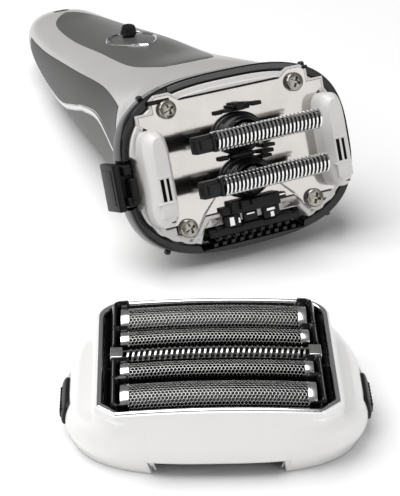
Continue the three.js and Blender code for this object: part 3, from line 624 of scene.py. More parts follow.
# ---- Head base and drive plate --------------------------------------------------------------
# Pale nylon carrier snapped into the rim, and on it a mirror polished steel plate held by four screws.
PLATE_RIGHT = np.array([
    [5, -15], [8, -15], [8, -14], [14, -14], [16.2, -17.2], [22, -17.2], [22, -15],
    [26.3, -15], [26.3, -11.6], [27.7, -10.4], [27.7, 11], [25.7, 12], [27.7, 13.2], [27.7, 15.6],
    [23.2, 15.6], [23.2, 19], [21.8, 20], [18, 20], [15, 18]], float)
OPENING_X, OPENING_V, OPENING_SQUARE = 3.5, 9.6, 6.0


def dense(outline, most):
    """Closed outline with extra points, so that no side is longer than a given length."""
    following = np.roll(outline, -1, 0)
    counts = np.ceil(np.linalg.norm(following - outline, axis=1) / most).astype(int)
    start = np.repeat(outline, counts, 0)
    step = np.repeat((following - outline) / counts[:, None], counts, 0)
    order = np.concatenate([np.arange(n) for n in counts])
    return start + step * order[:, None]


def inset(outline, distance):
    """Closed outline moved inwards along its normals."""
    ahead, behind = np.roll(outline, -1, 0) - outline, outline - np.roll(outline, 1, 0)
    normals = []
    for side in (ahead, behind):
        normal = np.stack([side[:, 1], -side[:, 0]], -1)
        normals.append(normal / np.linalg.norm(normal, axis=1, keepdims=True))
    mean = normals[0] + normals[1]
    mean /= np.maximum((mean * normals[0]).sum(1, keepdims=True), 0.4)
    return outline - mean * distance


plate_line = dense(np.concatenate([PLATE_RIGHT, PLATE_RIGHT[::-1] * [-1, 1]]), 1.2)
plate_turn = np.arctan2(plate_line[:, 1], plate_line[:, 0])
reach = (np.abs(np.cos(plate_turn) / OPENING_X) ** OPENING_SQUARE
         + np.abs(np.sin(plate_turn) / OPENING_V) ** OPENING_SQUARE) ** (-1 / OPENING_SQUARE)
opening = np.stack([reach * np.cos(plate_turn), reach * np.sin(plate_turn)], -1)
rows = [
    (plate_line, -PLATE_THICK), (plate_line, -0.16), (inset(plate_line, 0.05), -0.05),
    (inset(plate_line, 0.16), 0.0), (inset(plate_line, 0.3), 0.0), (opening * 1.02, 0.0), (opening, 0.0),
    (opening, -PLATE_THICK), (plate_line, -PLATE_THICK)]
plate = np.stack([np.concatenate([line, np.full((len(line), 1), u)], 1) for line, u in rows])
mirror = bright_metal("mirror_steel", (0.50, 0.475, 0.455), (0.66, 0.635, 0.615), 0.11)
piece("drive_plate_sheet", [grid(head_place(plate), wrap=True)], ["drive_plate"], "handle",
      mirror, flat_angle=12)

off_white = moulded("off_white_nylon", (0.66, 0.645, 0.63), (0.72, 0.705, 0.69), 0.36, 0.0, 0.2, 1500,
                    0.006)
TOOTH_DEEP, TOOTH_COUNT = 0.35, 46
base_inner = inset(plate_line, -0.4)
base_turn = np.arctan2(base_inner[:, 1] - RIM_MIDDLE, base_inner[:, 0])


def base_line(gap):
    """Edge of the carrier: the rim's superellipse with square teeth, and bays for trimmer and latch."""
    x_half, v_half = RIM_HALF_X - gap, RIM_HALF_V - gap
    far = (np.abs(np.cos(base_turn) / x_half) ** RIM_SQUARE
           + np.abs(np.sin(base_turn) / v_half) ** RIM_SQUARE) ** (-1 / RIM_SQUARE)
    lower_side = (np.sin(base_turn) < 0) & (np.abs(np.cos(base_turn)) < 0.93)
    tooth = TOOTH_DEEP * (np.sin(base_turn * TOOTH_COUNT) > 0.2) * lower_side
    x, v = (far - tooth) * np.cos(base_turn), RIM_MIDDLE + (far - tooth) * np.sin(base_turn)
    x = np.where((v > LATCH_LOW) & (v < LATCH_HIGH), np.maximum(x, -LATCH_BAY), x)
    return np.stack([x, np.where((np.abs(x) < TRIMMER_HALF) & (v < 0), np.maximum(v, -17.4), v)], -1)


rows = [
    (base_inner, -5.4), (base_line(2.5), -5.4), (base_line(2.5), -0.9), (base_line(2.7), -0.65),
    (base_line(3.0), -0.6), (base_line(3.9), -0.6), (base_line(4.0), -0.2), (base_line(4.15), -0.1),
    (inset(base_inner, -0.15), -0.1), (base_inner, -0.25), (base_inner, -5.4)]
base = np.stack([np.concatenate([line, np.full((len(line), 1), u)], 1) for line, u in rows])
piece("head_base_carrier", [grid(head_place(base), wrap=True)], ["head_base"], "handle",
      off_white, flat_angle=15)

# ---- Plate screws ---------------------------------------------------------------------------
# Four small pan head screws with a cross recess, zinc plated.
SCREW_X, SCREW_V, RECESS_HALF, RECESS_REACH, RECESS_DEEP, CROWN = 19.2, 16.2, 0.36, 1.5, 0.85, 2.1
crown = np.linspace(CROWN, 0, 26)
radius = np.concatenate([[2.6, 2.6, 2.5, 2.3], crown])
height = np.concatenate([[0.05, 0.95, 1.25, 1.5], 1.55 + 0.35 * (1 - (crown / CROWN) ** 2)])
turn = np.linspace(0, 2 * math.pi, 112, endpoint=False)
sx, sy = radius[:, None] * np.cos(turn), radius[:, None] * np.sin(turn)
slot_depth = np.maximum(
    np.clip((RECESS_HALF - np.abs(sx)) / 0.1, 0, 1) * np.clip((RECESS_REACH - np.abs(sy)) / 0.12, 0, 1),
    np.clip((RECESS_HALF - np.abs(sy)) / 0.1, 0, 1) * np.clip((RECESS_REACH - np.abs(sx)) / 0.12, 0, 1))
sz = height[:, None] - RECESS_DEEP * slot_depth
screw_steel = bright_metal("screw_zinc", (0.30, 0.28, 0.25), (0.45, 0.43, 0.39), 0.22)
for i, (a, b) in enumerate([(-1, 1), (1, 1), (-1, -1), (1, -1)]):
    tilt = 0.35 + 0.8 * i
    x = a * SCREW_X + sx * math.cos(tilt) - sy * math.sin(tilt)
    v = b * SCREW_V + sx * math.sin(tilt) + sy * math.cos(tilt)
    head = np.stack([x, v, sz], -1)
    piece(f"plate_screw_{i + 1}_head", [grid(head_place(head), wrap=True)], [f"plate_screw_{i + 1}"],
          "handle", screw_steel, flat_angle=30)

# ---- Cassette guides ------------------------------------------------------------------------
# Pale nylon posts that guide the foil cassette, snapped through the plate, each with a barred window whose
# slots are painted shade.
GUIDE_X, GUIDE_V, GUIDE_HALF, GUIDE_LONG, GUIDE_RISE = 26.4, -1.2, 3.7, 13.0, 8.0
GUIDE_PROFILE = np.array([
    [0, 0.05], [0, 4.4], [0.06, 5.2], [0.3, 5.75], [1.5, 7.75], [1.8, 7.97], [2.2, GUIDE_RISE],
    [3.0, GUIDE_RISE]])


def capsule(shrink, turn):
    """Long superellipse with blunt ends, a given distance inside the guide's edge."""
    x = (GUIDE_HALF - shrink) * signed_power(np.cos(turn), 0.75)
    v = (GUIDE_LONG - shrink) * signed_power(np.sin(turn), 0.42)
    return x, v


turn = np.linspace(0, 2 * math.pi, 160, endpoint=False)
cap_x, cap_v = capsule(GUIDE_PROFILE[:, :1], turn)
cap_u = GUIDE_PROFILE[:, 1:] + 0 * cap_x
guide = np.stack([cap_x, cap_v, cap_u], -1)
guide = np.concatenate([guide, np.broadcast_to([0.0, 0.0, GUIDE_RISE], (1, len(turn), 3))])
guide_slot_shade = moulded("guide_slot_shadow", (0.002, 0.002, 0.002), (0.003, 0.003, 0.003), 0.7, shine=0.05)
for word, s in (("left", -1), ("right", 1)):
    centre = np.array([s * GUIDE_X, GUIDE_V, 0])
    # The window's slots: near-black blocks on the post's top, painted shade where the openings are.
    bars = blocks([
        ((-1.45, -0.4), (-5.7, 0.3), (6.4, 8.05)), ((0.25, 1.1), (-5.7, 0.3), (6.4, 8.05)),
        ((-0.2, 0.9), (-11.6, -10.5), (6.0, 7.92))],
        lambda p, c=centre: head_place(p + c), radius=0.1)
    lip = blocks([((-2.9, 2.4), (-6.6, -6.0), (4.0, 8.25)), ((-2.3, 2.2), (-10.1, -6.2), (4.0, 8.16)),
                  ((-2.2, 1.8), (0.5, 0.95), (4.0, 8.16))], lambda p, c=centre: head_place(p + c),
                  radius=0.22)
    piece(f"{word}_guide_post", [grid(head_place(guide + centre), wrap=True), *lip], [f"{word}_guide"],
          "handle", off_white, flat_angle=24)
    piece(f"{word}_guide_window_shade", bars, [], "handle", guide_slot_shade)

# ---- Drive post boots -----------------------------------------------------------------------
# Black silicone bellows that keep hair out of the motor; the drive posts stand in their bores.
BOOT_X, BOOT_V, BOOT_PITCH = 7.4, 5.8, 12.0
BOOT_ROWS = np.array([
    [1.0, 0.05], [1.0, 1.0], [0.98, 1.4], [0.93, 1.6], [0.89, 1.65], [0.87, 1.9], [0.85, 2.9],
    [0.81, 3.4], [0.77, 3.65], [0.74, 3.75], [0.72, 4.2], [0.70, 4.9], [0.66, 5.3], [0.62, 5.45]])
BORE_X, BORE_V, BORE_ROUND = 4.35, 3.4, 0.42  # room for the post over its whole stroke
boot_rubber = moulded("boot_silicone", (0.003, 0.003, 0.004), (0.006, 0.006, 0.008), 0.3, 0.0, 0.1, 700,
                      0.02, shine=0.3)
turn = np.linspace(0, 2 * math.pi, 96, endpoint=False)
for word, s in (("upper", 1), ("lower", -1)):
    middle_v = s * BOOT_PITCH / 2
    outside = np.stack([
        BOOT_X * BOOT_ROWS[:, :1] * np.cos(turn), middle_v + BOOT_V * BOOT_ROWS[:, :1] * np.sin(turn),
        BOOT_ROWS[:, 1:] + 0 * turn], -1)
    bore = np.stack([
        BORE_X * signed_power(np.cos(turn), BORE_ROUND),
        middle_v + BORE_V * signed_power(np.sin(turn), BORE_ROUND),
        0 * turn], -1)
    boot = np.concatenate([outside, [bore + [0, 0, u] for u in (5.35, 5.1, 0.2)]])
    piece(f"{word}_boot_bellows", [grid(head_place(boot), wrap=True)], [f"{word}_boot"], "handle",
          boot_rubber, flat_angle=50)

# Black nylon clips and ribs that hold the boots down: above the upper boot, between the two, and below.
CLIPS = [
    ((-3.6, 4.2), (12.0, 12.9), (0, 2.0)), ((-1.6, 5.2), (12.8, 13.7), (0, 2.6)),
    ((-0.4, 2.2), (12.0, 14.2), (0, 3.2)), ((5.2, 8.0), (12.3, 13.4), (0, 1.8)),
    ((-6.0, -3.6), (11.8, 12.9), (0, 1.2)), ((5.0, 8.8), (-0.9, 0.2), (0, 2.6)),
    ((5.8, 9.4), (0.6, 1.6), (0, 2.8)), ((6.6, 8.8), (1.9, 2.8), (0, 1.6)),
    ((-7.0, -4.2), (-0.6, 0.6), (0, 1.4)), ((-3.4, 3.4), (-0.62, 0.62), (0, 1.6)),
    ((5.0, 8.4), (-2.2, -1.2), (0, 1.8))]
piece("boot_clips", blocks(CLIPS, head_place, radius=0.28), [], "handle", matte_black)

# ---- Trimmer drive housing ------------------------------------------------------------------
# Black nylon linkage below the lower boot that carries the stroke down to the trimmer, with steel tabs.
HOUSING = [
    ((-6.6, 8.2), (-15.3, -11.7), (0.02, 2.4)), ((-4.2, 6.4), (-14.4, -11.9), (1.2, 3.6)),
    ((-9.4, -6.0), (-15.2, -12.9), (0.02, 1.6)), ((8.0, 10.6), (-14.2, -12.4), (0.02, 1.3)),
    ((-12.4, -6.2), (-17.6, -15.0), (-1.6, -0.1)), ((9.2, 15.2), (-17.4, -14.9), (-1.4, -0.1)),
    ((-15.0, -12.2), (-19.6, -17.0), (-4.6, -1.6)), ((-8.8, -3.8), (-18.8, -15.4), (-1.4, 1.1)),
    ((-2.8, 1.6), (-18.6, -15.5), (-1.6, 0.5)), ((3.0, 8.2), (-18.8, -15.4), (-1.4, 0.9)),
    ((12.2, 14.8), (-19.4, -17.0), (-4.6, -1.4)), ((-1.4, 0.2), (-13.6, -11.9), (3.3, 4.5))]
TABS = [
    ((-7.4, -5.9), (-18.3, -15.9), (1.05, 1.35)), ((-4.9, -4.2), (-17.9, -16.4), (1.05, 1.5)),
    ((4.0, 6.6), (-16.6, -15.8), (0.85, 1.3)), ((5.0, 6.2), (-18.4, -16.9), (0.85, 1.2)),
    ((-1.9, 0.6), (-16.4, -15.9), (0.45, 0.8)), ((7.4, 10.2), (-13.2, -12.7), (1.25, 1.6))]
piece("trimmer_drive_housing", blocks(HOUSING, head_place, radius=0.3), [], "handle",
      matte_black)
blade_steel = bright_metal("blade_steel", (0.62, 0.62, 0.62), (0.78, 0.78, 0.77), 0.2)
piece("trimmer_drive_tabs", blocks(TABS, head_place, radius=0.12), [], "handle",
      blade_steel)

# ---- Inner blades ---------------------------------------------------------------------------
# Each is 27 arched steel lamellae on a black nylon holder, snapped on its drive post.
BLADE_LEFT, BLADE_RIGHT, BLADE_HALF, BLADE_TOP, BLADE_FOOT, LAMELLAE = -12.0, 19.6, 2.7, 13.6, 9.6, 27
LAMELLA_THICK, LAMELLA_DEEP, LAMELLA_SKEW, CORE_FOOT, CORE_AXIS = 0.46, 0.75, 0.3, 9.2, 11.0
arc = np.linspace(0, math.pi, 15)
hoop_v = np.concatenate([[1.0], np.cos(arc), [-1.0]])
hoop_u = np.concatenate([[0.0], np.sin(arc), [0.0]])
legs = np.array([1.0] + [0.0] * len(arc) + [1.0])
pitch = (BLADE_RIGHT - BLADE_LEFT) / LAMELLAE
starts = BLADE_LEFT + pitch * (np.arange(LAMELLAE) + 0.27)
section = np.array([[0, 0], [1, 0], [1, 1], [0, 1]])  # along the blade, and into its depth
half = BLADE_HALF - LAMELLA_DEEP * section[:, 1]
hoop = np.stack([
    section[:, 0] * LAMELLA_THICK + LAMELLA_SKEW * hoop_v[:, None] + 0 * half,
    hoop_v[:, None] * half,
    np.where(legs[:, None] > 0, BLADE_FOOT, BLADE_TOP - BLADE_HALF + hoop_u[:, None] * half)], -1)
hoops = hoop[None] + starts[:, None, None, None] * [1, 0, 0]
core_x = np.array([BLADE_LEFT - 0.3, BLADE_LEFT, BLADE_RIGHT - 0.5, BLADE_RIGHT - 0.3])
core_half = np.array([1.2, 1.65, 1.65, 1.2])[:, None]
core_arc = np.linspace(0, math.pi, 17)
core = np.concatenate([
    np.stack([core_x, core_half[:, 0], np.full(4, CORE_FOOT)], -1)[:, None],
    np.stack([core_x[:, None] + 0 * core_arc, core_half * np.cos(core_arc),
              CORE_AXIS + (core_half - 0.1) * np.sin(core_arc)], -1),
    np.stack([core_x, -core_half[:, 0], np.full(4, CORE_FOOT)], -1)[:, None]], 1)
blade_gloss = bright_metal("blade_lamella_steel", (0.80, 0.80, 0.80), (0.92, 0.92, 0.91), 0.16)
holder_black = moulded("holder_black", (0.003, 0.003, 0.003), (0.005, 0.005, 0.005), 0.35, 0.0, 0.0, 1200,
                       0.012, shine=0.3)
for k, s in ((1, 1), (2, -1)):
    offset = np.array([0, s * BOOT_PITCH / 2, 0])
    at = lambda p, o=offset: head_place(p + o)
    rail_x, rail_u = (BLADE_LEFT - 0.2, BLADE_RIGHT + 0.1), (9.3, 10.2)
    rails = blocks([(rail_x, (v - 0.28, v + 0.28), rail_u) for v in (-2.4, 2.4)], at, radius=0.12)
    piece(f"inner_blade_{k}_lamellae", [grid(at(h), wrap=True) for h in hoops] + rails,
          [f"inner_blade_{k}"], f"blade_{k}", blade_gloss, flat_angle=40)
    holder = blocks([
        ((-17.9, -12.5), (-2.3, 2.3), (8.4, 11.9)), ((-16.6, -12.9), (-1.5, 1.5), (11.2, 12.5)),
        ((-18.2, -16.9), (-1.6, 1.6), (9.0, 11.2)), ((-13.1, -11.9), (-2.45, 2.45), (8.9, 12.6)),
        ((-7.0, 9.0), (-2.45, 2.45), (7.5, 9.15)), ((-9.5, -7.2), (-1.2, 1.2), (8.2, 9.3)),
        ((9.2, 12.5), (-1.2, 1.2), (8.2, 9.3))], at, radius=0.35)
    piece(f"blade_holder_{k}_body", [grid(at(core)), *holder], [f"blade_holder_{k}"], f"blade_{k}",
          holder_black, flat_angle=40)

# ---- Frame latch ----------------------------------------------------------------------------
# Black nylon button at the left end of the rim; pressed in, its hook lets the foil head go.
LATCH_BLOCKS = [
    ((-37.6, -35.6), (-8.0, 5.0), (-8.6, 0.6)), ((-37.8, -37.2), (-6.4, 3.4), (-7.2, -0.9)),
    ((-35.8, -31.6), (-7.3, 4.3), (-4.9, -1.6)), ((-33.7, -31.7), (-6.4, 0.4), (-2.2, 1.9)),
    ((-34.8, -32.0), (-7.2, -4.6), (-2.0, 0.7)), ((-34.6, -32.2), (1.2, 4.0), (-2.0, 0.4))]
piece("frame_latch_button", blocks(LATCH_BLOCKS, head_place, radius=0.45), ["frame_latch"], "latch",
      matte_black)

# ---- Trimmer carriage -----------------------------------------------------------------------
# Black nylon slide under the rim that carries the long hair trimmer; it comes out towards the face.
CARRIAGE = [
    ((-13.5, 13.5), (-5.0, -3.4), (5.65, 10.35)), ((-13.5, -11.6), (-4.0, 8.0), (5.65, 10.35)),
    ((11.6, 13.5), (-4.0, 8.0), (5.65, 10.35)), ((-13.5, -8.5), (6.9, 8.0), (5.65, 10.35)),
    ((8.5, 13.5), (6.9, 8.0), (5.65, 10.35)), ((-13.2, 13.2), (-3.8, 7.9), (5.62, 6.8)),
    ((-13.5, 13.5), (-9.0, -4.8), (8.45, 10.3)), ((-11.4, -7.4), (-8.9, -6.0), (9.6, 10.75)),
    ((-3.6, 2.6), (-8.9, -6.4), (9.6, 10.7)), ((6.4, 11.4), (-8.9, -6.0), (9.6, 10.75))]
piece("trimmer_carriage_slide", blocks(CARRIAGE, handle_place, radius=0.3), ["trimmer_carriage"],
      "trimmer", matte_black)

# ---- Foil head: frame -----------------------------------------------------------------------
# Pearl-white moulded frame that snaps over the rim; open below, with a notch at the front for the trimmer.
FOIL_TURN = math.radians(-24.7)
comb_low, comb_high = (np.array(corner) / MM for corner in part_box("comb"))
FOIL_PLACE = np.array([*((comb_low + comb_high) / 2)[:2], 0])
# Skirt sections: height, half width, half depth, squareness
SKIRT = np.array([
    [0, 34.6, 23.2, 2.8],
    [5, 36.2, 24.9, 3.0],
    [10, 34.9, 25.2, 3.4],
    [15, 30.6, 24.7, 4.4],
    [17, 28.6, 24.3, 6.0],
])
NOTCH_HALF, NOTCH_HIGH, FOIL_ARCH, BEZEL_X, BEZEL_Y = 17.0, 4.4, 1.2, 28.0, 24.0
REAR_ROUND, FRONT_CUT = 6.0, 4.4


def foil_place(points):
    """Foil head millimetres to metres in the frame: turned on the table and set down in its place."""
    c, s = math.cos(FOIL_TURN), math.sin(FOIL_TURN)
    x, y, z = np.moveaxis(points, -1, 0)
    return (np.stack([x * c - y * s, x * s + y * c, z], -1) + FOIL_PLACE) * MM


def bezel_reach(turn, inset):
    """Distance from the middle to the bezel: a rectangle, its rear corners round, its front ones cut."""
    x, y, r = BEZEL_X - inset, BEZEL_Y - inset, max(REAR_ROUND - 0.6 * inset, 0.4)
    cut = FRONT_CUT - 0.4 * inset
    c, s = np.abs(np.cos(turn)), np.sin(turn)
    box = np.minimum(x / np.maximum(c, 1e-9), y / np.maximum(np.abs(s), 1e-9))
    slanted = (x + y - cut) / (c + np.maximum(-s, 1e-9))
    cx, cy = x - r, y - r
    along = c * cx + s * cy
    rounded = along + np.sqrt(np.maximum(along ** 2 - cx ** 2 - cy ** 2 + r * r, 0))
    in_corner = (box * c > cx) & (box * s > cy) & (s > 0)
    return np.where(s < 0, np.minimum(box, slanted), np.where(in_corner, rounded, box))


def arch(x, half=BEZEL_X):
    """Rise of the lengthwise bow: a parabola that falls to nothing at both ends."""
    return FOIL_ARCH * np.maximum(0, 1 - (x / half) ** 2)


BUTTON_LOW, BUTTON_HIGH, BUTTON_FRONT, BUTTON_REAR = 3.4, 10.4, -9.0, 5.0
SIDE_REACH, FRONT_REACH, STEP, SKIRT_TOP, BLEND_FROM = 35.6, 24.4, 3e-4, 17.2, 13.0
levels = np.unique(np.concatenate([np.linspace(0, SKIRT_TOP, 36), [BUTTON_LOW, BUTTON_HIGH]]))
button_turns = np.arctan2([BUTTON_FRONT, BUTTON_REAR], SIDE_REACH)
notch_turn = math.atan2(-FRONT_REACH, NOTCH_HALF)
notch_sides = np.array([notch_turn - STEP, notch_turn + STEP])
special = np.concatenate([button_turns, math.pi - button_turns, notch_sides, -math.pi - notch_sides])
special = (special + math.pi) % (2 * math.pi) - math.pi
turn = np.unique(np.concatenate([np.linspace(-math.pi, math.pi, 361)[:-1], special]))
in_notch = (turn > -math.pi - notch_turn) & (turn < notch_turn)
bottom = np.where(in_notch, NOTCH_HIGH, 0.0)
z = bottom + (SKIRT_TOP - bottom) * (levels[:, None] / SKIRT_TOP)
height_rows = np.interp(z, SKIRT[:, 0], np.arange(5))
half_x, half_y, square = np.moveaxis(spline(SKIRT, height_rows), -1, 0)[1:]
far = (np.abs(np.cos(turn) / half_x) ** square + np.abs(np.sin(turn) / half_y) ** square) ** (-1 / square)
top_share = np.clip((z - BLEND_FROM) / (SKIRT_TOP - BLEND_FROM), 0, 1)
top_share = top_share ** 2 * (3 - 2 * top_share)
far = far * (1 - top_share) + (bezel_reach(turn, -0.35) + 0.05) * top_share
skirt = np.stack([far * np.cos(turn), far * np.sin(turn), z], -1)
skirt[..., 2] += arch(skirt[..., 0]) * top_share
lip = skirt[-1:] * [0.985, 0.985, 1] + [0, 0, 0.12]
skirt = np.concatenate([skirt, lip, lip * [0.97, 0.97, 1]])
points, faces = grid(skirt, wrap=True)
middle = points[faces].mean(1)
at_side = (middle[:, 1] > BUTTON_FRONT + 0.05) & (middle[:, 1] < BUTTON_REAR - 0.05)
at_level = (middle[:, 2] > BUTTON_LOW) & (middle[:, 2] < BUTTON_HIGH)
hole = (np.abs(middle[:, 0]) > 30) & at_side & at_level
pearl = moulded("pearl_shell", (0.84, 0.83, 0.825), (0.89, 0.88, 0.875), 0.22, 0.1, 0.3, 2500, 0.003)
piece("foil_frame_shell", [(foil_place(points), faces[~hole])], ["foil_frame"], "foil_head",
      pearl, wall=1.4)

# ---- Foil head: bezel -----------------------------------------------------------------------
# Chromed frame round the cassette, glued to the pearl frame.
turn = np.linspace(-math.pi, math.pi, 480, endpoint=False)
rows = np.array([
    [1.45, 14.9], [1.5, 17.1], [1.35, 17.5], [1.0, 17.78], [0.6, 17.82], [0.2, 17.6], [0.0, 17.1],
    [0.0, 14.9], [1.45, 14.9]])
far = np.stack([bezel_reach(turn, i) for i in rows[:, 0]])
bezel = np.stack([far * np.cos(turn), far * np.sin(turn), rows[:, 1:] + 0 * far], -1)
bezel[..., 2] += arch(bezel[..., 0])
piece("foil_bezel_frame", [grid(foil_place(bezel), wrap=True)], ["foil_bezel"], "foil_head",
      chrome)

# ---- Foil head: cassette --------------------------------------------------------------------
# Gloss black moulding with a slot for every foil and a raised rounded hook round each foil's end.
FOILS = {
    "foil_rear": (16.3, 4.3), "foil_inner_rear": (6.4, 2.7), "foil_inner_front": (-7.1, 2.7),
    "foil_front": (-16.3, 4.3)}
COMB_HALF, FOIL_HALF_LONG, FOIL_TOP, FOIL_FOOT = 2.2, 22.5, 19.4, 11.4
SLOTS = [*((y, h, FOIL_HALF_LONG) for y, h in FOILS.values()), (0.0, COMB_HALF, 24.9)]
CASSETTE_X, CASSETTE_Y, DECK, SLOT_FLOOR, SLOT_GAP = 26.3, 22.3, 15.2, 9.0, 0.4
steps_x = [s * (reach + SLOT_GAP + d) for _, _, reach in SLOTS for s in (-1, 1) for d in (0, 0.04)]
steps_y = [y + s * (h + SLOT_GAP + d) for y, h, _ in SLOTS for s in (-1, 1) for d in (0, 0.04)]
line_x = np.unique(np.clip(np.concatenate([np.linspace(-1, 1, 190) * CASSETTE_X, steps_x]), -CASSETTE_X,
                           CASSETTE_X))
line_y = np.unique(np.clip(np.concatenate([np.linspace(-1, 1, 170) * CASSETTE_Y, steps_y]), -CASSETTE_Y,
                           CASSETTE_Y))
gx, gy = np.meshgrid(line_x, line_y, indexing="ij")
deck = np.full(gx.shape, DECK)
in_slot = np.zeros(gx.shape, bool)
for y, h, reach in SLOTS:
    dx, dy = np.abs(gx) - (reach + SLOT_GAP), np.abs(gy - y) - (h + SLOT_GAP)
    away = np.hypot(np.maximum(dx, 0), np.maximum(dy, 0)) + np.minimum(np.maximum(dx, dy), 0)
    hook_wide, hook_rise = (2.1, 3.9) if reach < 24 else (0.8, 1.2)
    round_top = np.sqrt(np.clip(1 - ((away - hook_wide / 2) / (hook_wide / 2)) ** 2, 0, 1))
    end = np.clip((np.abs(gx) - 19.6) / 1.2, 0, 1)
    hook = DECK + hook_rise * round_top * end * (away > 0)
    deck = np.maximum(deck, hook)
    in_slot |= away <= 1e-6
wall = np.clip(1 - (np.minimum(CASSETTE_X - np.abs(gx), CASSETTE_Y - np.abs(gy))) / 1.1, 0, 1)
deck = np.maximum(deck, DECK + 2.0 * np.sqrt(wall))
gz = np.where(in_slot, SLOT_FLOOR, deck + arch(gx))
turn = np.arctan2(gy, gx)
limit = bezel_reach(turn, 1.75)
shrink = np.minimum(1, limit / np.maximum(np.hypot(gx, gy), 1e-9))
cassette = np.stack([gx * shrink, gy * shrink, gz], -1)
piece("foil_cassette_deck", [grid(foil_place(cassette))], ["foil_cassette"], "foil_head",
      gloss_black, flat_angle=40)

# ---- Foils ----------------------------------------------------------------------------------
# Thin electroformed steel with a honeycomb of holes, arched over its cutter and clipped at both ends.
HOLE_PITCH, WEB, SHEET, CLIP_WIDE, FOIL_BOW = 0.86, 0.80, 0.09, 2.0, 26.0


def over_foil(x, along, y, half, lift=0.0):
    """Point on a foil: along its length, then along the half ellipse of its section, arched lengthwise."""
    angle = np.linspace(0, math.pi, 400)
    tall = half * 0.8
    step = np.hypot(np.diff(half * np.cos(angle)), np.diff(tall * np.sin(angle)))
    length = np.concatenate([[0], np.cumsum(step)])
    a = np.interp(along, length, angle)
    return np.stack([
        x, y + (half + lift) * np.cos(a),
        FOIL_TOP - tall + (tall + lift) * np.sin(a) + arch(x, FOIL_BOW)], -1), length[-1]


def honeycomb(y, half):
    """Six-sided cells in staggered rows over the section; each is a ring of six faces round a hole."""
    total = over_foil(np.zeros(1), np.zeros(1), y, half)[1]
    rows_n = int(total / (HOLE_PITCH * 0.866))
    row_gap = total / rows_n
    cols_n = int((2 * (FOIL_HALF_LONG - CLIP_WIDE + 0.4)) / HOLE_PITCH)
    i, j = np.meshgrid(np.arange(cols_n), np.arange(rows_n), indexing="ij")
    cx = (i + 0.5 * (j % 2) - cols_n / 2 + 0.25) * HOLE_PITCH
    cs = (j + 0.5) * row_gap
    corner = np.arange(6) * math.pi / 3 + math.pi / 6
    ring_x, ring_s = np.cos(corner) * HOLE_PITCH / math.sqrt(3), np.sin(corner) * row_gap / 1.5
    outer = np.stack([cx[..., None] + ring_x, cs[..., None] + ring_s], -1)
    inner = np.stack([cx[..., None] + ring_x * WEB, cs[..., None] + ring_s * WEB], -1)
    cells = np.stack([outer, inner], -3).reshape(-1, 2, 6, 2)
    flat = cells.reshape(-1, 2)
    points, _ = over_foil(flat[:, 0], np.clip(flat[:, 1], 0, total), y, half)
    k = np.arange(6)
    ring = np.stack([k, (k + 1) % 6, 6 + (k + 1) % 6, 6 + k], -1)
    faces = (np.arange(len(cells))[:, None, None] * 12 + ring).reshape(-1, 4)
    return points, faces


def foil_steel_finish():
    """Nickel foil: cool grey with a faint streak along its length and a slightly uneven polish."""
    s = Shader("foil_nickel", Metallic=1.0)
    streak = s.noise((60, 900, 900), 3)
    return s.done(
        Base_Color=s.mix(streak, (0.30, 0.30, 0.295), (0.46, 0.46, 0.45)),
        Roughness=streak * 0.12 + 0.2,
        Normal=s.bump(streak, 0.004, 0.5))


foil_steel = foil_steel_finish()
for name, (y, half) in FOILS.items():
    points, faces = honeycomb(y, half)
    body = name.replace("foil_", "float_", 1)
    total = over_foil(np.zeros(1), np.zeros(1), y, half)[1]
    piece(f"{name}_net", [(foil_place(points), faces)], [name], body, foil_steel,
          wall=SHEET, flat_angle=60)
    parts, hems = [], []
    for s in (-1, 1):
        x_rows = s * (FOIL_HALF_LONG - np.array([2.1, 2.05, 1.8, 0.3, 0.05, 0, 0, 2.1, 2.1]))
        lifts = np.array([-0.1, 0.12, 0.16, 0.16, 0.12, -0.05, -0.3, -0.3, -0.1])
        s_cols = np.linspace(0, total, 26)
        band, _ = over_foil(x_rows[:, None] + 0 * s_cols, s_cols + 0 * x_rows[:, None], y, half,
                            lifts[:, None] + 0 * s_cols)
        foot = [band[:, :1] * [1, 1, 0] + [0, 0, FOIL_FOOT + 0.4],
                band[:, -1:] * [1, 1, 0] + [0, 0, FOIL_FOOT + 0.4]]
        parts.append(grid(foil_place(np.concatenate([foot[0], band, foot[1]], 1))))
    for side in (0.0, total):
        x_line = np.linspace(-FOIL_HALF_LONG + 0.4, FOIL_HALF_LONG - 0.4, 40)
        hem, _ = over_foil(x_line, side + 0 * x_line, y, half, -0.02)
        low = hem * [1, 1, 0] + [0, 0, FOIL_FOOT]
        inner = (low + [0, (y - low[:, 1:2]).mean() * 0.03, 0])
        hems.append(grid(foil_place(np.stack([hem, low, inner, inner * [1, 1, 0] + hem * [0, 0, 1]]))))
    piece(f"{name}_clips", parts, [], body, blade_steel, flat_angle=40)
    piece(f"{name}_hems", hems, [], body, holder_black, flat_angle=40)

# ---- Slit comb ------------------------------------------------------------------------------
# Middle cutter guard: two rows of slanting bars over a slotted ridge, with a square plate at each end.
COMB_LONG, BAR_PITCH, BAR_WIDE, BAR_SLANT = 22.0, 1.3, 0.45, 0.65
bar_a = np.linspace(0.12, math.pi / 2, 7)
starts = np.arange(-COMB_LONG + 0.6, COMB_LONG - 0.8, BAR_PITCH)
section = np.array([[0, 0], [1, 0], [1, 1], [0, 1]])
comb_parts = []
for hand in (-1, 1):
    slide = BAR_SLANT * (bar_a / (math.pi / 2))
    x = section[:, 0] * BAR_WIDE + slide[:, None]
    radius = COMB_HALF - 0.35 * section[:, 1]
    bar = np.stack([x, hand * radius * np.cos(bar_a)[:, None],
                    FOIL_TOP - 2.3 + 0.8 * radius * np.sin(bar_a)[:, None]], -1)
    bars = bar[None] + (starts + (0 if hand < 0 else BAR_PITCH * 0.5))[:, None, None, None] * [1, 0, 0]
    bars[..., 2] += arch(bars[..., 0], FOIL_BOW)
    comb_parts += [grid(foil_place(b), wrap=True) for b in bars]
rail_x = np.linspace(-COMB_LONG - 0.4, COMB_LONG + 0.4, 60)
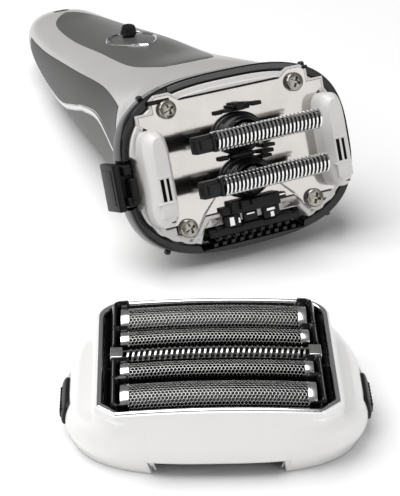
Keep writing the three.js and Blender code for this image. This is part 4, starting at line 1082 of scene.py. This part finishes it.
for y0, y1, z0, z1 in ((-2.2, -1.9, 11.6, 17.4), (1.9, 2.2, 11.6, 17.4), (-0.16, 0.16, 18.5, 18.95)):
    ring = np.array([[y0, z0], [y1, z0], [y1, z1], [y0, z1]])
    rail = np.stack([rail_x[:, None] + 0 * ring[:, 0], ring[:, 0] + 0 * rail_x[:, None],
                     ring[:, 1] + arch(rail_x[:, None], FOIL_BOW)], -1)
    comb_parts.append(grid(foil_place(rail), wrap=True))
comb_steel = bright_metal("comb_steel", (0.40, 0.395, 0.39), (0.60, 0.59, 0.58), 0.22)
piece("comb_bars", comb_parts, ["comb"], "float_comb", comb_steel, flat_angle=40)
end_bright = bright_metal("comb_end_steel", (0.50, 0.49, 0.48), (0.66, 0.65, 0.64), 0.25)
end_sizes = [((s * 21.9, s * 24.9), (-COMB_HALF, COMB_HALF), (15.0, 19.15)) for s in (-1, 1)]
piece("comb_ends", blocks(end_sizes, foil_place, radius=0.3), [], "float_comb", end_bright)

# ---- Foil head: release buttons -------------------------------------------------------------
# Slim black buttons in both sides of the frame, on springs moulded in one with them.
RIB_PLACES = np.arange(-6.2, 2.6, 1.4)
turn = np.linspace(0, 2 * math.pi, 96, endpoint=False)
for word, s in (("left", -1), ("right", 1)):
    rows = np.array([[-2.6, 0.3], [-2.5, 0.0], [0.3, 0.0], [0.5, 0.1], [0.65, 0.35], [0.74, 0.8],
                     [0.78, 1.6], [0.78, 2.6]])
    rim_y = (6.6 - rows[:, 1:]) * signed_power(np.cos(turn), 0.4) - 2
    rim_z = (3.1 - rows[:, 1:]) * signed_power(np.sin(turn), 0.4) + 6.9
    side_x, side_y, side_square = np.moveaxis(
        spline(SKIRT, np.interp(rim_z, SKIRT[:, 0], np.arange(5))), -1, 0)[1:]
    face = side_x * (1 - np.abs(rim_y / side_y) ** side_square) ** (1 / side_square)
    button = np.stack([s * (face + rows[:, :1]), rim_y, rim_z], -1)
    ends = [np.broadcast_to(row.mean(0), (1, 96, 3)) for row in (button[0], button[-1])]
    rib_sizes = [((s * 36.4, s * 37.05), (y - 0.28, y + 0.28), (5.2, 7.8)) for y in RIB_PLACES]
    ribs = blocks(rib_sizes, foil_place, radius=0.22)
    piece(f"{word}_release_button",
          [grid(foil_place(np.concatenate([ends[0], button, ends[1]])), wrap=True), *ribs],
          [f"{word}_release"], f"release_{word}", matte_black)

# ---- Pieces kept as the CAD made them -------------------------------------------------------
# Motor, electrics, springs, pins, trimmer blades and cutters: mostly hidden, each with its own finish; the
# trimmer blades and cutters are steel darkened to near black as painted shade.
copper = bright_metal("motor_copper", (0.45, 0.19, 0.08), (0.60, 0.28, 0.12), 0.3)
motor_steel = bright_metal("motor_steel", (0.32, 0.32, 0.32), (0.45, 0.45, 0.44), 0.35)
# Steel painted near black: painted shade for the trimmer teeth under the rim and the cutters inside the
# foil head.
shaded_trimmer_steel = bright_metal("trimmer_steel_painted_shade", (0.03, 0.03, 0.03), (0.06, 0.06, 0.06), 0.4)
spring_steel = bright_metal("spring_steel", (0.40, 0.40, 0.41), (0.58, 0.58, 0.58), 0.25)
board_green = moulded("board_green", (0.02, 0.10, 0.035), (0.03, 0.14, 0.05), 0.45, 0.0, 0.3, 800, 0.02,
                      400)
cell_wrap = moulded("cell_wrap", (0.08, 0.09, 0.16), (0.10, 0.115, 0.2), 0.35, 0.0, 0.4, 300, 0.02, 200)
KEPT = {
    "motor_frame": ("motor_steel", motor_steel), "motor_coil": ("copper", copper),
    "armature_1": ("motor_steel", motor_steel), "armature_2": ("motor_steel", motor_steel),
    "battery": ("cell", cell_wrap), "circuit_board": ("board", board_green),
    "tail_cap": ("gloss_black", gloss_black),
    "charge_pin_1": ("chrome", chrome), "charge_pin_2": ("chrome", chrome),
    "blade_spring_1": ("spring_steel", spring_steel), "blade_spring_2": ("spring_steel", spring_steel),
    "latch_spring": ("spring_steel", spring_steel),
    "trimmer_comb": ("blade_steel", shaded_trimmer_steel), "trimmer_blade": ("blade_steel", shaded_trimmer_steel),
    "trimmer_button": ("matte_black", matte_black), "cutter_rear": ("blade_steel", shaded_trimmer_steel),
    "cutter_front": ("blade_steel", shaded_trimmer_steel), "slit_cutter": ("blade_steel", shaded_trimmer_steel)}
for name, (slot, material) in KEPT.items():
    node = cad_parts[name]
    node.data.materials.clear()
    node.data.materials.append(material)

# ---- Floor, light and camera ----------------------------------------------------------------
# A plain pale table under soft studio light.
low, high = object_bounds()
middle = (low + high) / 2
FLOOR_HALF, SKY = 3, 0.2
floor_mesh = bpy.data.meshes.new("floor")
corners = [(-FLOOR_HALF, -FLOOR_HALF, 0), (FLOOR_HALF, -FLOOR_HALF, 0), (FLOOR_HALF, FLOOR_HALF, 0),
           (-FLOOR_HALF, FLOOR_HALF, 0)]
floor_mesh.from_pydata(corners, [], [(0, 1, 2, 3)])
floor = bpy.data.objects.new("floor", floor_mesh)
bpy.context.scene.collection.objects.link(floor)
floor_mesh.materials.append(moulded("floor_white", (0.93, 0.93, 0.93), (0.95, 0.95, 0.95), 0.6, 0.0, 0.0,
                                    300, 0.002, 3))

world = bpy.data.worlds.new("studio")
bpy.context.scene.world = world
world.use_nodes = True
world.node_tree.nodes["Background"].inputs["Color"].default_value = (1, 1, 1, 1)
world.node_tree.nodes["Background"].inputs["Strength"].default_value = SKY
LAMPS = [
    ("overhead", (-0.25, 0.10, 1.05), 1.0, 12.8), ("card", (0.28, -0.66, 0.22), 0.62, 1.25),
    ("side", (-0.75, 0.05, 0.55), 0.45, 2.0)]
for name, place, size, watts in LAMPS:
    lamp = bpy.data.lights.new(name, "AREA")
    lamp.shape, lamp.size, lamp.energy = "SQUARE", size, watts
    lamp_object = bpy.data.objects.new(name, lamp)
    bpy.context.scene.collection.objects.link(lamp_object)
    lamp_object.location = middle + Vector(place)
    lamp_object.rotation_mode = "QUATERNION"
    lamp_object.rotation_quaternion = (-Vector(place)).to_track_quat("-Z", "Y")

VIEW_AZIMUTH, VIEW_ELEVATION, VIEW_DISTANCE, LENS = math.radians(-26.3), math.radians(30.4), 0.454, 142.3
back = Vector((
    math.sin(VIEW_AZIMUTH) * math.cos(VIEW_ELEVATION), -math.cos(VIEW_AZIMUTH) * math.cos(VIEW_ELEVATION),
    math.sin(VIEW_ELEVATION)))
camera = bpy.data.objects.new("camera", bpy.data.cameras.new("camera"))
bpy.context.scene.collection.objects.link(camera)
camera.data.lens = LENS
target = Vector((HEAD[0] - 45, HEAD[1] - 66, 44)) * MM
camera.location = target + back * VIEW_DISTANCE
camera.rotation_mode = "QUATERNION"
camera.rotation_quaternion = (-back).to_track_quat("-Z", "Y")
camera.data.clip_start, camera.data.clip_end = 0.01, 10
bpy.context.scene.camera = camera
bpy.context.scene.view_settings.view_transform = "Standard"
